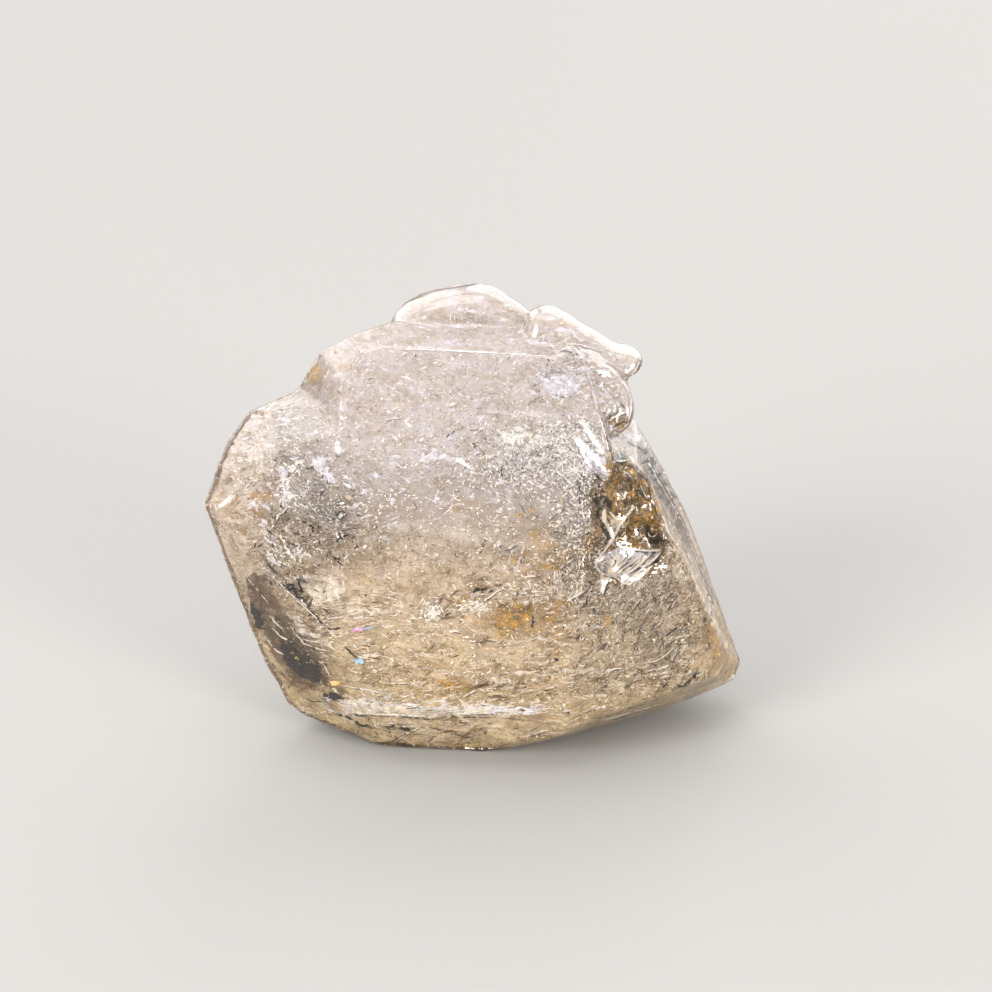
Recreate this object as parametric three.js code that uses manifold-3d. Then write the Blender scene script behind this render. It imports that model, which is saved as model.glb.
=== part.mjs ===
// A skeletal quartz crystal, one grown piece: a thick, shield-shaped body that leans back a little, with a
// second growth stage stacked on its upper half. The second stage ends in rounded lips and a pointed tongue
// that hang over a rough pit on the right, and the back keeps the stepped hollow of a skeletal face.
// Millimetres, +Z up. The viewer stands on the -Y side. It rests on a small flat spot at height 0.
// A way to look is a compass bearing and a lift: compass 0 is right (+X), 90 is back (+Y) and -90 is front,
// and lift is the angle above the horizon.

import * as THREE from "three";
import { mergeVertices } from "three/addons/utils/BufferGeometryUtils.js";
import Module from "manifold-3d";

const wasm = await Module();
wasm.setup();

const degrees = THREE.MathUtils.degToRad;
const at = (x, y, z) => new THREE.Vector3(x, y, z);

// The widest outline of each growth stage, as corners that run left, bottom, right, top. front and back say
// how far the face before and the face behind the edge to the next corner turn to the viewer and away.
const SHIELD_RIM = [
  { name: "left tip", corner: at(-23.9, -5.0, 22.4), front: 50, back: 38 },
  { name: "left waist", corner: at(-20.8, -4.7, 12.6), front: 52, back: 36 },
  { name: "left ankle", corner: at(-18.8, -4.3, 7.0), front: 54, back: 30 },
  { name: "left foot", corner: at(-16.8, -4.0, 2.4), front: 46, back: 4 },
  { name: "left toe", corner: at(-15.4, -4.6, 1.6), front: 42, back: -1 },
  { name: "chin left", corner: at(-8.2, -8.2, 0.3), front: 60, back: -9 },
  { name: "chin right", corner: at(1.1, -9.0, 0), front: 30, back: -3 },
  { name: "sole", corner: at(8.9, -5.7, 0.1), front: 30, back: -3 },
  { name: "right sole", corner: at(14.5, -3.3, 0.7), front: 33, back: -1 },
  { name: "right toe", corner: at(19.9, -1.4, 2.0), front: 35, back: 6 },
  { name: "right foot", corner: at(23.9, 0, 3.1), front: 30, back: 40 },
  { name: "right tip", corner: at(24.5, 0, 4.9), front: 9, back: 34 },
  { name: "right waist", corner: at(19.2, 1.0, 19.6), front: 10, back: 26 },
  { name: "right shoulder", corner: at(14.6, 2.0, 27.8), front: 15, back: 30 },
  { name: "top right", corner: at(7.9, 3.0, 32.3), front: 20, back: 30 },
  { name: "top left", corner: at(-6.5, 3.0, 32.3), front: 12, back: 30 },
  { name: "step", corner: at(-15.5, 3.0, 30.3), front: 14, back: 34 },
  { name: "left shoulder", corner: at(-20.1, 1.0, 28.9), front: 40, back: 36 },
  { name: "left elbow", corner: at(-21.9, -1.5, 27.1), front: 44, back: 36 },
];
const CAP_RIM = [
  { name: "step", corner: at(-15.8, 3.0, 30.1), front: 34, back: 30 },
  { name: "left root", corner: at(-12.0, -3.6, 25.4), front: 66, back: 20 },
  { name: "middle root", corner: at(-2.5, -5.6, 21.8), front: 68, back: 20 },
  { name: "right root", corner: at(9.6, -5.2, 23.6), front: 50, back: 20 },
  { name: "right step", corner: at(12.9, -2.0, 28.3), front: 24, back: 35 },
  { name: "right side", corner: at(13.6, 0, 30.4), front: 30, back: 30 },
  { name: "right lip", corner: at(13.6, 2.0, 32.2), front: 24, back: 30 },
  { name: "right crest", corner: at(12.6, 4.0, 34.6), front: 16, back: 28 },
  { name: "crest", corner: at(9.2, 5.0, 36.6), front: 14, back: 28 },
  { name: "top", corner: at(6.6, 5.0, 37.4), front: 17, back: 28 },
  { name: "left crest", corner: at(-7.3, 4.0, 36.4), front: 22, back: 26 },
  { name: "left top", corner: at(-11.3, 3.0, 35.4), front: 30, back: 30 },
  { name: "left step", corner: at(-13.8, 3.0, 33.9), front: 34, back: 30 },
];

// The broad faces, each by a point on it and the way it looks.
const SHIELD_FACES = [
  { name: "table", point: at(0, 0, 0), compass: 0, lift: -90 },
  { name: "lower front", point: at(0, -12.2, 4.8), compass: -96, lift: 12 },
  { name: "upper front", point: at(0, -9.2, 20), compass: -93, lift: 32 },
  { name: "front right", point: at(9.5, -11.3, 10), compass: -64, lift: 5 },
  { name: "back", point: at(0, 13.5, 16), compass: 93, lift: 6 },
  { name: "back upper", point: at(0, 12.0, 26), compass: 86, lift: 38 },
  { name: "back lower", point: at(0, 12.6, 7), compass: 96, lift: -40 },
  { name: "back left", point: at(-14, 9.0, 16), compass: 128, lift: 4 },
  { name: "back right", point: at(14, 9.5, 14), compass: 52, lift: 2 },
];
const CAP_FACES = [
  { name: "front", point: at(0, -8.9, 21), compass: -92, lift: 34 },
  { name: "crest front", point: at(0, -0.6, 34.5), compass: -86, lift: 72 },
  { name: "back", point: at(0, 11.0, 30), compass: 88, lift: 24 },
];

// What the second stage's upper edge grew on to: thick plates with round edges. Each outline is drawn as seen
// from the front (right, up). near and far are the depths it stands between at the height foot, heel to the
// right of the middle. lean is how far it tips back from upright, and swing how far its left end turns back
// into the crystal. Its edge is round by that much in the outline and by roll in the depth.
const LIPS = [
  {
    name: "crown",
    near: 4.2,
    far: 9.0,
    foot: 36,
    heel: 0,
    lean: 8,
    swing: 0,
    round: 1.5,
    roll: 2.2,
    outline: [
      [-6.6, 31.4], [-7.7, 33.4], [-7.3, 35.4], [-6.3, 36.7], [-4.7, 37.6], [-1.7, 38.4], [0.5, 38.6],
      [2.1, 38.3], [3.4, 37.5], [4.9, 36.5], [6.0, 35.0], [5.4, 31.6], [-0.6, 30.2],
    ],
  },
  {
    name: "right lip",
    near: 0.8,
    far: 4.0,
    foot: 33,
    heel: 14,
    lean: 25,
    swing: 0,
    round: 1.1,
    roll: 1.4,
    outline: [
      [5.0, 34.0], [5.1, 37.2], [6.6, 37.6], [7.9, 37.3], [9.3, 36.6], [11.1, 35.4], [12.4, 34.6],
      [13.8, 34.2], [14.9, 33.9], [15.3, 33.3], [14.9, 32.5], [13.9, 32.0], [12.2, 31.6], [9.0, 30.6],
    ],
  },
  {
    name: "second lip",
    near: -3.2,
    far: 1.0,
    foot: 29,
    heel: 13.5,
    lean: 20,
    swing: 14,
    round: 0.9,
    roll: 1.3,
    outline: [
      [9.0, 31.0], [10.1, 33.2], [11.2, 33.8], [12.5, 33.6], [13.5, 32.6], [14.2, 31.3], [14.4, 30.1],
      [14.1, 29.1], [13.5, 28.4], [12.6, 28.0], [11.2, 28.2], [9.6, 29.2],
    ],
  },
  {
    name: "tongue",
    near: -7.5,
    far: -3.6,
    foot: 25,
    heel: 12,
    lean: 34,
    swing: 14,
    round: 0.6,
    roll: 0.8,
    outline: [
      [5.6, 33.0], [8.6, 35.6], [9.7, 34.8], [10.4, 33.4], [11.2, 31.4], [11.9, 29.4], [12.5, 27.3],
      [12.5, 26.3], [12.0, 25.7], [11.2, 26.1], [10.0, 27.3], [8.2, 28.4], [6.2, 29.4], [5.2, 31.0],
    ],
  },
];

// The stepped hollow of the back: each step's outline on its face (across, up) and how deep it goes.
const HOLLOW_FACE = { point: at(0, 13.5, 16), compass: 93, lift: 6 };
const HOLLOW_STEPS = [
  {
    depth: 0.6,
    outline: [
      [-7.8, -4.6], [-4.0, -6.8], [4.0, -6.4], [8.0, -2.6], [7.2, 5.4], [2.6, 8.8], [-5.0, 7.8],
      [-8.4, 2.6],
    ],
  },
  {
    depth: 1.3,
    outline: [
      [-6.0, -3.2], [-3.0, -5.0], [3.4, -4.6], [6.2, -1.6], [5.4, 4.2], [2.0, 6.8], [-4.0, 6.0],
      [-6.6, 2.0],
    ],
  },
  {
    depth: 2.0,
    outline: [
      [-4.2, -2.2], [-1.8, -3.4], [2.8, -3.0], [4.4, -0.6], [3.6, 3.2], [1.0, 4.8], [-3.0, 4.4],
      [-4.8, 1.6],
    ],
  },
  {
    depth: 2.6,
    outline: [
      [-2.4, -1.2], [-0.6, -2.0], [1.8, -1.6], [2.8, 0.2], [2.2, 2.2], [0.2, 3.2], [-1.8, 2.8],
      [-3.2, 1.2],
    ],
  },
];

// Thin plates of late growth on the faces, as outlines on the face (across, up).
const GROWTH_PLATES = [
  {
    name: "back left",
    point: at(-14.4, 3.8, 14.1),
    compass: 141,
    lift: -12.7,
    height: 0.4,
    outline: [
      [-6.4, -5.2], [1.8, -8.4], [6.6, -3.0], [5.0, 4.6], [-1.6, 8.6], [-7.6, 3.4],
    ],
  },
  {
    name: "back left, upper",
    point: at(-14.4, 3.8, 14.1),
    compass: 141,
    lift: -12.7,
    height: 0.8,
    outline: [
      [-4.4, -2.2], [0.6, -5.2], [4.0, -1.6], [2.8, 3.0], [-1.2, 5.4], [-5.2, 2.2],
    ],
  },
  {
    name: "back right",
    point: at(13.1, 10.4, 10.4),
    compass: 52,
    lift: 2,
    height: 0.35,
    outline: [
      [-3.4, -2.4], [1.6, -3.8], [4.2, 0.2], [1.8, 5.2], [-2.6, 4.0],
    ],
  },
  {
    name: "right",
    point: at(17.8, 4.7, 15.8),
    compass: 35.2,
    lift: 14.3,
    height: 0.35,
    outline: [
      [-3.6, -5.0], [1.2, -6.4], [3.2, -1.0], [1.0, 5.4], [-2.4, 3.6],
    ],
  },
];

// The rough pit in the front right, as the lumps of stone missing from it.
const PIT_LUMPS = [
  { name: "mouth", middle: at(13.4, -8.0, 24.8), size: at(2.6, 3.0, 3.6), turn: 24 },
  { name: "throat", middle: at(14.4, -7.5, 20.6), size: at(2.7, 2.8, 3.6), turn: -15 },
  { name: "foot", middle: at(12.3, -8.9, 19.4), size: at(2.2, 2.0, 2.6), turn: 40 },
  { name: "right end", middle: at(16.0, -6.0, 24.4), size: at(1.5, 1.9, 3.2), turn: 10 },
  { name: "left end", middle: at(11.6, -8.9, 22.6), size: at(1.2, 1.4, 2.0), turn: 0 },
];
const PIT_ROUGHNESS = 0.16;
const PIT_RIPPLE = at(7.1, 1.4, 2.3);
const PIT_CROSS_RIPPLE = at(3.2, 6.3, -5.1);

// The block that a growth stage is cut from, the block that cuts it, how deep a thin plate is rooted, and how
// far a cut runs out past its face.
const ROUGH_BLOCK = at(60, 36, 44);
const BLOCK = 120;
const PLATE_ROOT = 1;
const CLEAR = 6;

// Points along a lip's outline between two corners, rings round its edge, the fineness of the pit's lumps, and
// how near two points are merged.
const LIP_STEPS = 2;
const ROUND_STEPS = 3;
const LUMP_DETAIL = 3;
const WELD = 1e-4;

// The unit vector that looks along a compass bearing, lifted above the horizon.
function direction(compass, lift) {
  return at(
    Math.cos(degrees(compass)) * Math.cos(degrees(lift)),
    Math.sin(degrees(compass)) * Math.cos(degrees(lift)),
    Math.sin(degrees(lift)),
  );
}

// A closed three.js geometry as a solid, moved by a matrix.
function solid(geometry, place = new THREE.Matrix4()) {
  const bare = geometry.index ? geometry.toNonIndexed() : geometry.clone();
  bare.deleteAttribute("normal");
  bare.deleteAttribute("uv");
  bare.applyMatrix4(place);
  const merged = mergeVertices(bare, WELD);
  return new wasm.Manifold(
    new wasm.Mesh({
      numProp: 3,
      vertProperties: merged.attributes.position.array,
      triVerts: new Uint32Array(merged.index.array),
    }),
  );
}

// The block that lies beyond the plane through a point that looks along out.
function beyond(point, out) {
  const turn = new THREE.Quaternion().setFromUnitVectors(at(1, 0, 0), out);
  const middle = point.clone().addScaledVector(out, BLOCK / 2);
  const place = new THREE.Matrix4().compose(middle, turn, at(1, 1, 1));
  return solid(new THREE.BoxGeometry(BLOCK, BLOCK, BLOCK), place);
}

// The ways that the two faces of a rim edge look: out from the rim, turned to the viewer and away from them.
function rimNormals(from, to, front, back) {
  const along = to.clone().sub(from).normalize();
  const out = at(0, 1, 0).cross(along).normalize();
  const ahead = out.clone().cross(along).normalize();
  if (ahead.y > 0) ahead.negate();
  const turned = (angle) =>
    out.clone().multiplyScalar(Math.cos(degrees(angle))).addScaledVector(ahead, Math.sin(degrees(angle)));
  return [turned(front), turned(-back)];
}

// A flat-faced growth stage: a block cut by the faces along its rim and by its broad faces.
function growthStage(rim, faces) {
  const rough = new THREE.BoxGeometry(...ROUGH_BLOCK.toArray()).translate(0, 0, ROUGH_BLOCK.z / 2 - 1);
  let body = solid(rough);
  rim.forEach(({ corner, front, back }, i) => {
    const next = rim[(i + 1) % rim.length].corner;
    for (const out of rimNormals(corner, next, front, back)) body = body.subtract(beyond(corner, out));
  });
  for (const { point, compass, lift } of faces) body = body.subtract(beyond(point, direction(compass, lift)));
  return body;
}

// A plate with round edges that stands up facing the viewer. Its outline is a smooth closed curve, and each
// ring of points from the near face to the far one is that curve drawn in towards the middle.
function lip({ near, far, foot, heel, lean, swing, round, roll, outline }) {
  const corners = outline.map(([x, z]) => at(x, 0, z));
  const curve = new THREE.CatmullRomCurve3(corners, true, "centripetal");
  const ring = curve.getPoints(outline.length * LIP_STEPS).slice(0, -1);
  const middle = ring.reduce((sum, point) => sum.add(point), at(0, 0, 0)).divideScalar(ring.length);
  const placed = (point, depth) => {
    const back = (point.z - foot) * Math.tan(degrees(lean)) + (heel - point.x) * Math.tan(degrees(swing));
    return point.clone().setY(depth + back);
  };
  const turns = Array.from({ length: ROUND_STEPS + 1 }, (_, i) => (Math.PI / 2) * (i / ROUND_STEPS));
  const edge = turns.map((turn) => [roll * (1 - Math.cos(turn)), round * (1 - Math.sin(turn))]);
  const profile = [
    ...edge.map(([depth, inset]) => [near + depth, inset]),
    ...edge.reverse().map(([depth, inset]) => [far - depth, inset]),
  ];
  const points = profile.flatMap(([depth, inset]) =>
    ring.map((point) => {
      const inward = middle.clone().sub(point);
      return placed(point.clone().addScaledVector(inward, inset / inward.length()), depth);
    }),
  );
  const count = ring.length;
  const faces = [];
  for (let row = 0; row + 1 < profile.length; row += 1) {
    for (let i = 0; i < count; i += 1) {
      const [a, b] = [row * count + i, row * count + ((i + 1) % count)];
      faces.push(a, b, b + count, a, b + count, a + count);
    }
  }
  const [front, back, last] = [points.length, points.length + 1, (profile.length - 1) * count];
  points.push(placed(middle, near), placed(middle, far));
  for (let i = 0; i < count; i += 1) {
    const next = (i + 1) % count;
    faces.push(front, next, i, back, last + i, last + next);
  }
  const geometry = new THREE.BufferGeometry().setFromPoints(points);
  geometry.setIndex(faces);
  return solid(geometry);
}

// A straight block on a face, with an outline drawn on it (across, up), from low to high above the face.
function blockOn({ point, compass, lift }, outline, low, high) {
  const out = direction(compass, lift);
  const across = at(0, 0, 1).cross(out).normalize();
  const up = out.clone().cross(across);
  const shape = new THREE.Shape(outline.map(([x, y]) => new THREE.Vector2(x, y)));
  const block = new THREE.ExtrudeGeometry(shape, { depth: high - low, bevelEnabled: false });
  const place = new THREE.Matrix4().makeBasis(across, up, out);
  place.setPosition(point.clone().addScaledVector(out, low));
  return solid(block, place);
}

// A lump of missing stone: a rough ball, stretched and turned.
function lump({ middle, size, turn }) {
  const ball = new THREE.IcosahedronGeometry(1, LUMP_DETAIL);
  const spots = ball.attributes.position;
  const spot = new THREE.Vector3();
  for (let i = 0; i < spots.count; i += 1) {
    spot.fromBufferAttribute(spots, i);
    const wave = Math.sin(spot.dot(PIT_RIPPLE)) + Math.sin(spot.dot(PIT_CROSS_RIPPLE));
    spot.multiplyScalar(1 + (PIT_ROUGHNESS / 2) * wave);
    spots.setXYZ(i, spot.x, spot.y, spot.z);
  }
  const place = new THREE.Matrix4().makeRotationY(degrees(turn)).scale(size);
  return solid(ball, place.setPosition(middle));
}

const shield = growthStage(SHIELD_RIM, SHIELD_FACES);
const cap = growthStage(CAP_RIM, CAP_FACES);
let crystal = shield.add(cap);
for (const { outline, height, ...face } of GROWTH_PLATES) {
  crystal = crystal.add(blockOn(face, outline, -PLATE_ROOT, height));
}
for (const { outline, depth } of HOLLOW_STEPS) {
  crystal = crystal.subtract(blockOn(HOLLOW_FACE, outline, -depth, CLEAR));
}
for (const missing of PIT_LUMPS) crystal = crystal.subtract(lump(missing));
for (const plate of LIPS) crystal = crystal.add(lip(plate));

// The crystal as a geometry with flat faces, set down with its middle over the origin.
function geometryOf(made) {
  const mesh = made.getMesh();
  const geometry = new THREE.BufferGeometry();
  geometry.setAttribute("position", new THREE.BufferAttribute(new Float32Array(mesh.vertProperties), 3));
  geometry.setIndex(new THREE.BufferAttribute(new Uint32Array(mesh.triVerts), 1));
  geometry.computeBoundingBox();
  const { min, max } = geometry.boundingBox;
  geometry.translate(-(min.x + max.x) / 2, -(min.y + max.y) / 2, -min.z);
  const flat = geometry.toNonIndexed();
  flat.computeVertexNormals();
  return flat;
}

const quartz = new THREE.MeshStandardMaterial({ color: 0xe6d8c4, roughness: 0.15, metalness: 0 });
const mesh = new THREE.Mesh(geometryOf(crystal), quartz);
mesh.name = "quartz_crystal";
const group = new THREE.Group();
group.add(mesh);

export default group;
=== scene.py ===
"""The looks of a skeletal quartz crystal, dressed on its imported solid.

The solid is copied, merged and given a fine skin of growth relief in clear quartz. Healed fractures, flecks,
cracks and iron stains lie inside the skin. Sizes in the classes are millimetres, and a mesh is in metres.
Where a mark shows in the photograph, its place is a pixel of the 992 pixel frame and a depth under the
surface, along the line of sight as the quartz bends it.
"""

import logging
import math
import random
from collections.abc import Callable
from dataclasses import dataclass, field, replace
from enum import Enum

import bmesh
import bpy
import numpy as np
from mathutils import Matrix, Vector, noise
from mathutils.bvhtree import BVHTree


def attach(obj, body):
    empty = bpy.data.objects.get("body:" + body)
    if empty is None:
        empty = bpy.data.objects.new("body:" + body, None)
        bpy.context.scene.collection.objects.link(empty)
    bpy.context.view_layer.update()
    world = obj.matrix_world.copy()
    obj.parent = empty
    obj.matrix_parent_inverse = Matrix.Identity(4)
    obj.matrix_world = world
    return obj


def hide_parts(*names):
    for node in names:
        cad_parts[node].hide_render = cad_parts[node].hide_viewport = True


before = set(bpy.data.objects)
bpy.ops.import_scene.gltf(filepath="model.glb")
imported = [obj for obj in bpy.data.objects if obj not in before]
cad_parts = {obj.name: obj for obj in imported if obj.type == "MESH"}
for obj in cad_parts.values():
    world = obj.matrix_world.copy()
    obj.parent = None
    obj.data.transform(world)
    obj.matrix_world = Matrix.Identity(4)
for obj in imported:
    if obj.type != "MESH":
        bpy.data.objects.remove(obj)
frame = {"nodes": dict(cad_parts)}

MM = 0.001
QUARTZ_IOR = 1.544
BODY = "root"
NODE = "quartz_crystal"
SEED = 4127
LEAST_DEPTH = 0.06

log = logging.getLogger("quartz")

Colour = tuple[float, float, float]
Pixels = tuple[tuple[float, float], ...]


def smooth_step(low: float, high: float, value: np.ndarray) -> np.ndarray:
    """Rise softly from 0 at low to 1 at high.

    Args:
        low: The value at and below which the result is 0.
        high: The value at and above which the result is 1.
        value: The values to grade.

    Returns:
        The graded values, from 0 to 1.
    """
    share = np.clip((value - low) / (high - low), 0.0, 1.0)
    return share * share * (3.0 - 2.0 * share)


def noise_at(points: np.ndarray, wavelength: float, shift: float = 0.0) -> np.ndarray:
    """Read smooth noise at points.

    Args:
        points: Places in millimetres, one row each.
        wavelength: The size of the noise's swells in millimetres.
        shift: How far the noise is slid, so that two readings differ.

    Returns:
        One value a point, about -1 to 1.
    """
    scaled = points / wavelength + shift
    return np.array([noise.noise(Vector(row)) for row in scaled])


class Recipe:
    """A material's node tree, built one node at a time."""

    def __init__(self, name: str) -> None:
        """Start an empty node material.

        Args:
            name: The material's name.
        """
        self.material = bpy.data.materials.new(name)
        self.material.use_nodes = True
        self.tree = self.material.node_tree
        self.tree.nodes.clear()
        self.output = self.tree.nodes.new("ShaderNodeOutputMaterial")
        self.place = self.tree.nodes.new("ShaderNodeTexCoord").outputs["Object"]

    def add(self, kind: str, /, **settings: object) -> bpy.types.Node:
        """Add a node and set its properties.

        Args:
            kind: The node's Blender type.
            **settings: Property names and their values.

        Returns:
            The new node.
        """
        node = self.tree.nodes.new(kind)
        for name, value in settings.items():
            setattr(node, name, value)
        return node

    def feed(self, socket: bpy.types.NodeSocket, value: object) -> None:
        """Give a socket a constant, or link another node's output to it."""
        if isinstance(value, bpy.types.NodeSocket):
            self.tree.links.new(value, socket)
        elif isinstance(value, tuple) and len(value) == 3 and socket.type == "RGBA":
            socket.default_value = (*value, 1.0)
        else:
            socket.default_value = value

    def noise(self, wavelength: float, detail: float = 3.0, roughness: float = 0.55,
              stretch: Colour = (1.0, 1.0, 1.0), distortion: float = 0.0) -> bpy.types.NodeSocket:
        """Add a noise texture on object coordinates.

        Args:
            wavelength: The size of its swells in millimetres.
            detail: How many finer octaves it has.
            roughness: How strong the finer octaves are.
            stretch: How many times longer the swells are along X, Y and Z.
            distortion: How far the swells are warped.

        Returns:
            The noise's value output, about 0.25 to 0.75.
        """
        mapping = self.add("ShaderNodeMapping")
        self.feed(mapping.inputs["Vector"], self.place)
        mapping.inputs["Scale"].default_value = tuple(1.0 / side for side in stretch)
        node = self.add("ShaderNodeTexNoise")
        self.feed(node.inputs["Vector"], mapping.outputs["Vector"])
        node.inputs["Scale"].default_value = 1.0 / (wavelength * MM)
        node.inputs["Detail"].default_value = detail
        node.inputs["Roughness"].default_value = roughness
        node.inputs["Distortion"].default_value = distortion
        return node.outputs["Fac"]

    def ranged(self, value: object, low: float, high: float, to_low: float = 0.0,
               to_high: float = 1.0) -> bpy.types.NodeSocket:
        """Stretch a value from one range to another, held at its ends.

        Args:
            value: The value's output socket.
            low: The value that becomes to_low.
            high: The value that becomes to_high.
            to_low: The result at low.
            to_high: The result at high.

        Returns:
            The stretched value's output.
        """
        node = self.add("ShaderNodeMapRange")
        for name, given in (("Value", value), ("From Min", low), ("From Max", high), ("To Min", to_low),
                            ("To Max", to_high)):
            self.feed(node.inputs[name], given)
        return node.outputs["Result"]

    def maths(self, operation: str, *values: object) -> bpy.types.NodeSocket:
        """Join values by a Math node's operation, and return its output."""
        node = self.add("ShaderNodeMath", operation=operation)
        for socket, value in zip(node.inputs, values):
            self.feed(socket, value)
        return node.outputs[0]

    def mix(self, share: object, first: object, second: object) -> bpy.types.NodeSocket:
        """Mix two colours by a share, and return the colour's output."""
        node = self.add("ShaderNodeMix", data_type="RGBA")
        self.feed(node.inputs["Factor"], share)
        self.feed(node.inputs[6], first)
        self.feed(node.inputs[7], second)
        return node.outputs[2]

    def attribute(self, name: str) -> bpy.types.NodeSocket:
        """Read a mesh attribute's value."""
        return self.add("ShaderNodeAttribute", attribute_name=name).outputs["Fac"]

    def height(self, low: float, high: float) -> bpy.types.NodeSocket:
        """Grade the height over the table, from 0 at low to 1 at high, in millimetres."""
        split = self.add("ShaderNodeSeparateXYZ")
        self.feed(split.inputs["Vector"], self.place)
        return self.ranged(split.outputs["Z"], low * MM, high * MM)

    def shader(self, **inputs: object) -> bpy.types.Node:
        """Add the Principled shader, feed its inputs and link it to the output.

        Args:
            **inputs: Socket names, with _ for a space, and their values or outputs.

        Returns:
            The shader node.
        """
        node = self.add("ShaderNodeBsdfPrincipled")
        for name, value in inputs.items():
            self.feed(node.inputs[name.replace("_", " ")], value)
        self.tree.links.new(node.outputs["BSDF"], self.output.inputs["Surface"])
        return node


@dataclass(frozen=True)
class ClearQuartz:
    """Clear, faintly honey-coloured quartz with growth relief on its faces and iron stain in its pit."""

    name: str = "clear_quartz"
    body: Colour = (0.99, 0.98, 0.965)
    stained: Colour = (0.90, 0.78, 0.56)
    absorbs: Colour = (0.84, 0.66, 0.40)
    density: float = 50.0
    polish: float = 0.03
    frost: float = 0.14
    relief: float = 0.06
    bump: float = 0.5
    blotch_size: float = 2.2
    striae_size: float = 0.55
    striae_stretch: Colour = (7.0, 3.0, 1.0)

    def material(self) -> bpy.types.Material:
        """Build the material.

        Returns:
            A see-through material whose pattern follows the skin's attributes pit and top.
        """
        recipe = Recipe(self.name)
        blotches = recipe.ranged(recipe.noise(self.blotch_size, detail=5.0, roughness=0.65), 0.42, 0.62)
        stain = recipe.maths("MULTIPLY", recipe.attribute("pit"), blotches)
        colour = recipe.mix(stain, self.body, self.stained)
        roughness = recipe.ranged(recipe.attribute("top"), 0.0, 1.0, self.polish, self.frost)
        striae = recipe.noise(self.striae_size, detail=2.0, stretch=self.striae_stretch, distortion=0.3)
        bump = recipe.add("ShaderNodeBump")
        bump.inputs["Strength"].default_value = self.bump
        bump.inputs["Distance"].default_value = self.relief * MM
        recipe.feed(bump.inputs["Height"], striae)
        recipe.shader(Base_Color=colour, Roughness=roughness, IOR=QUARTZ_IOR, Transmission_Weight=1.0,
                      Normal=bump.outputs["Normal"])
        depth = recipe.add("ShaderNodeVolumeAbsorption")
        depth.inputs["Color"].default_value = (*self.absorbs, 1.0)
        depth.inputs["Density"].default_value = self.density
        recipe.tree.links.new(depth.outputs["Volume"], recipe.output.inputs["Volume"])
        return recipe.material


@dataclass(frozen=True)
class Film:
    """A film, fleck or stain inside the crystal: pale near the crown, honey-coloured near the foot."""

    name: str
    crown: Colour
    foot: Colour
    dark: Colour
    metallic: float = 0.0
    roughness: float = 0.4
    cover: float = 1.0
    bare: float = 1.0
    patch: float = 1.0
    grain: float = 0.0
    slot: str = "healed_fractures"
    foot_height: float = 6.0
    crown_height: float = 26.0
    crazing_size: float = 1.1
    tone_share: float = 0.35

    def material(self) -> bpy.types.Material:
        """Build the material.

        Returns:
            A material that darkens with the attribute tone, and that noise and the attribute fade thin out.
        """
        recipe = Recipe(self.name)
        rise = recipe.height(self.foot_height, self.crown_height)
        colour = recipe.mix(rise, self.foot, self.crown)
        tone = recipe.attribute("tone")
        if self.grain > 0.0:
            crazing = recipe.noise(self.crazing_size, detail=6.0, roughness=0.8, distortion=0.8,
                                   stretch=(1.6, 1.0, 1.0))
            shade = recipe.ranged(crazing, 0.44, 0.60, 0.0, self.grain)
            tone = recipe.maths("MULTIPLY_ADD", tone, self.tone_share, shade)
        colour = recipe.mix(tone, colour, self.dark)
        node = recipe.shader(Base_Color=colour, Metallic=self.metallic, Roughness=self.roughness)
        if self.bare < 1.0:
            grain = recipe.noise(self.patch, detail=4.0, roughness=0.6)
            cover = recipe.ranged(grain, 0.40, 0.60, self.bare, self.cover)
            recipe.feed(node.inputs["Alpha"], recipe.maths("MULTIPLY", cover, recipe.attribute("fade")))
        return recipe.material


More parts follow.
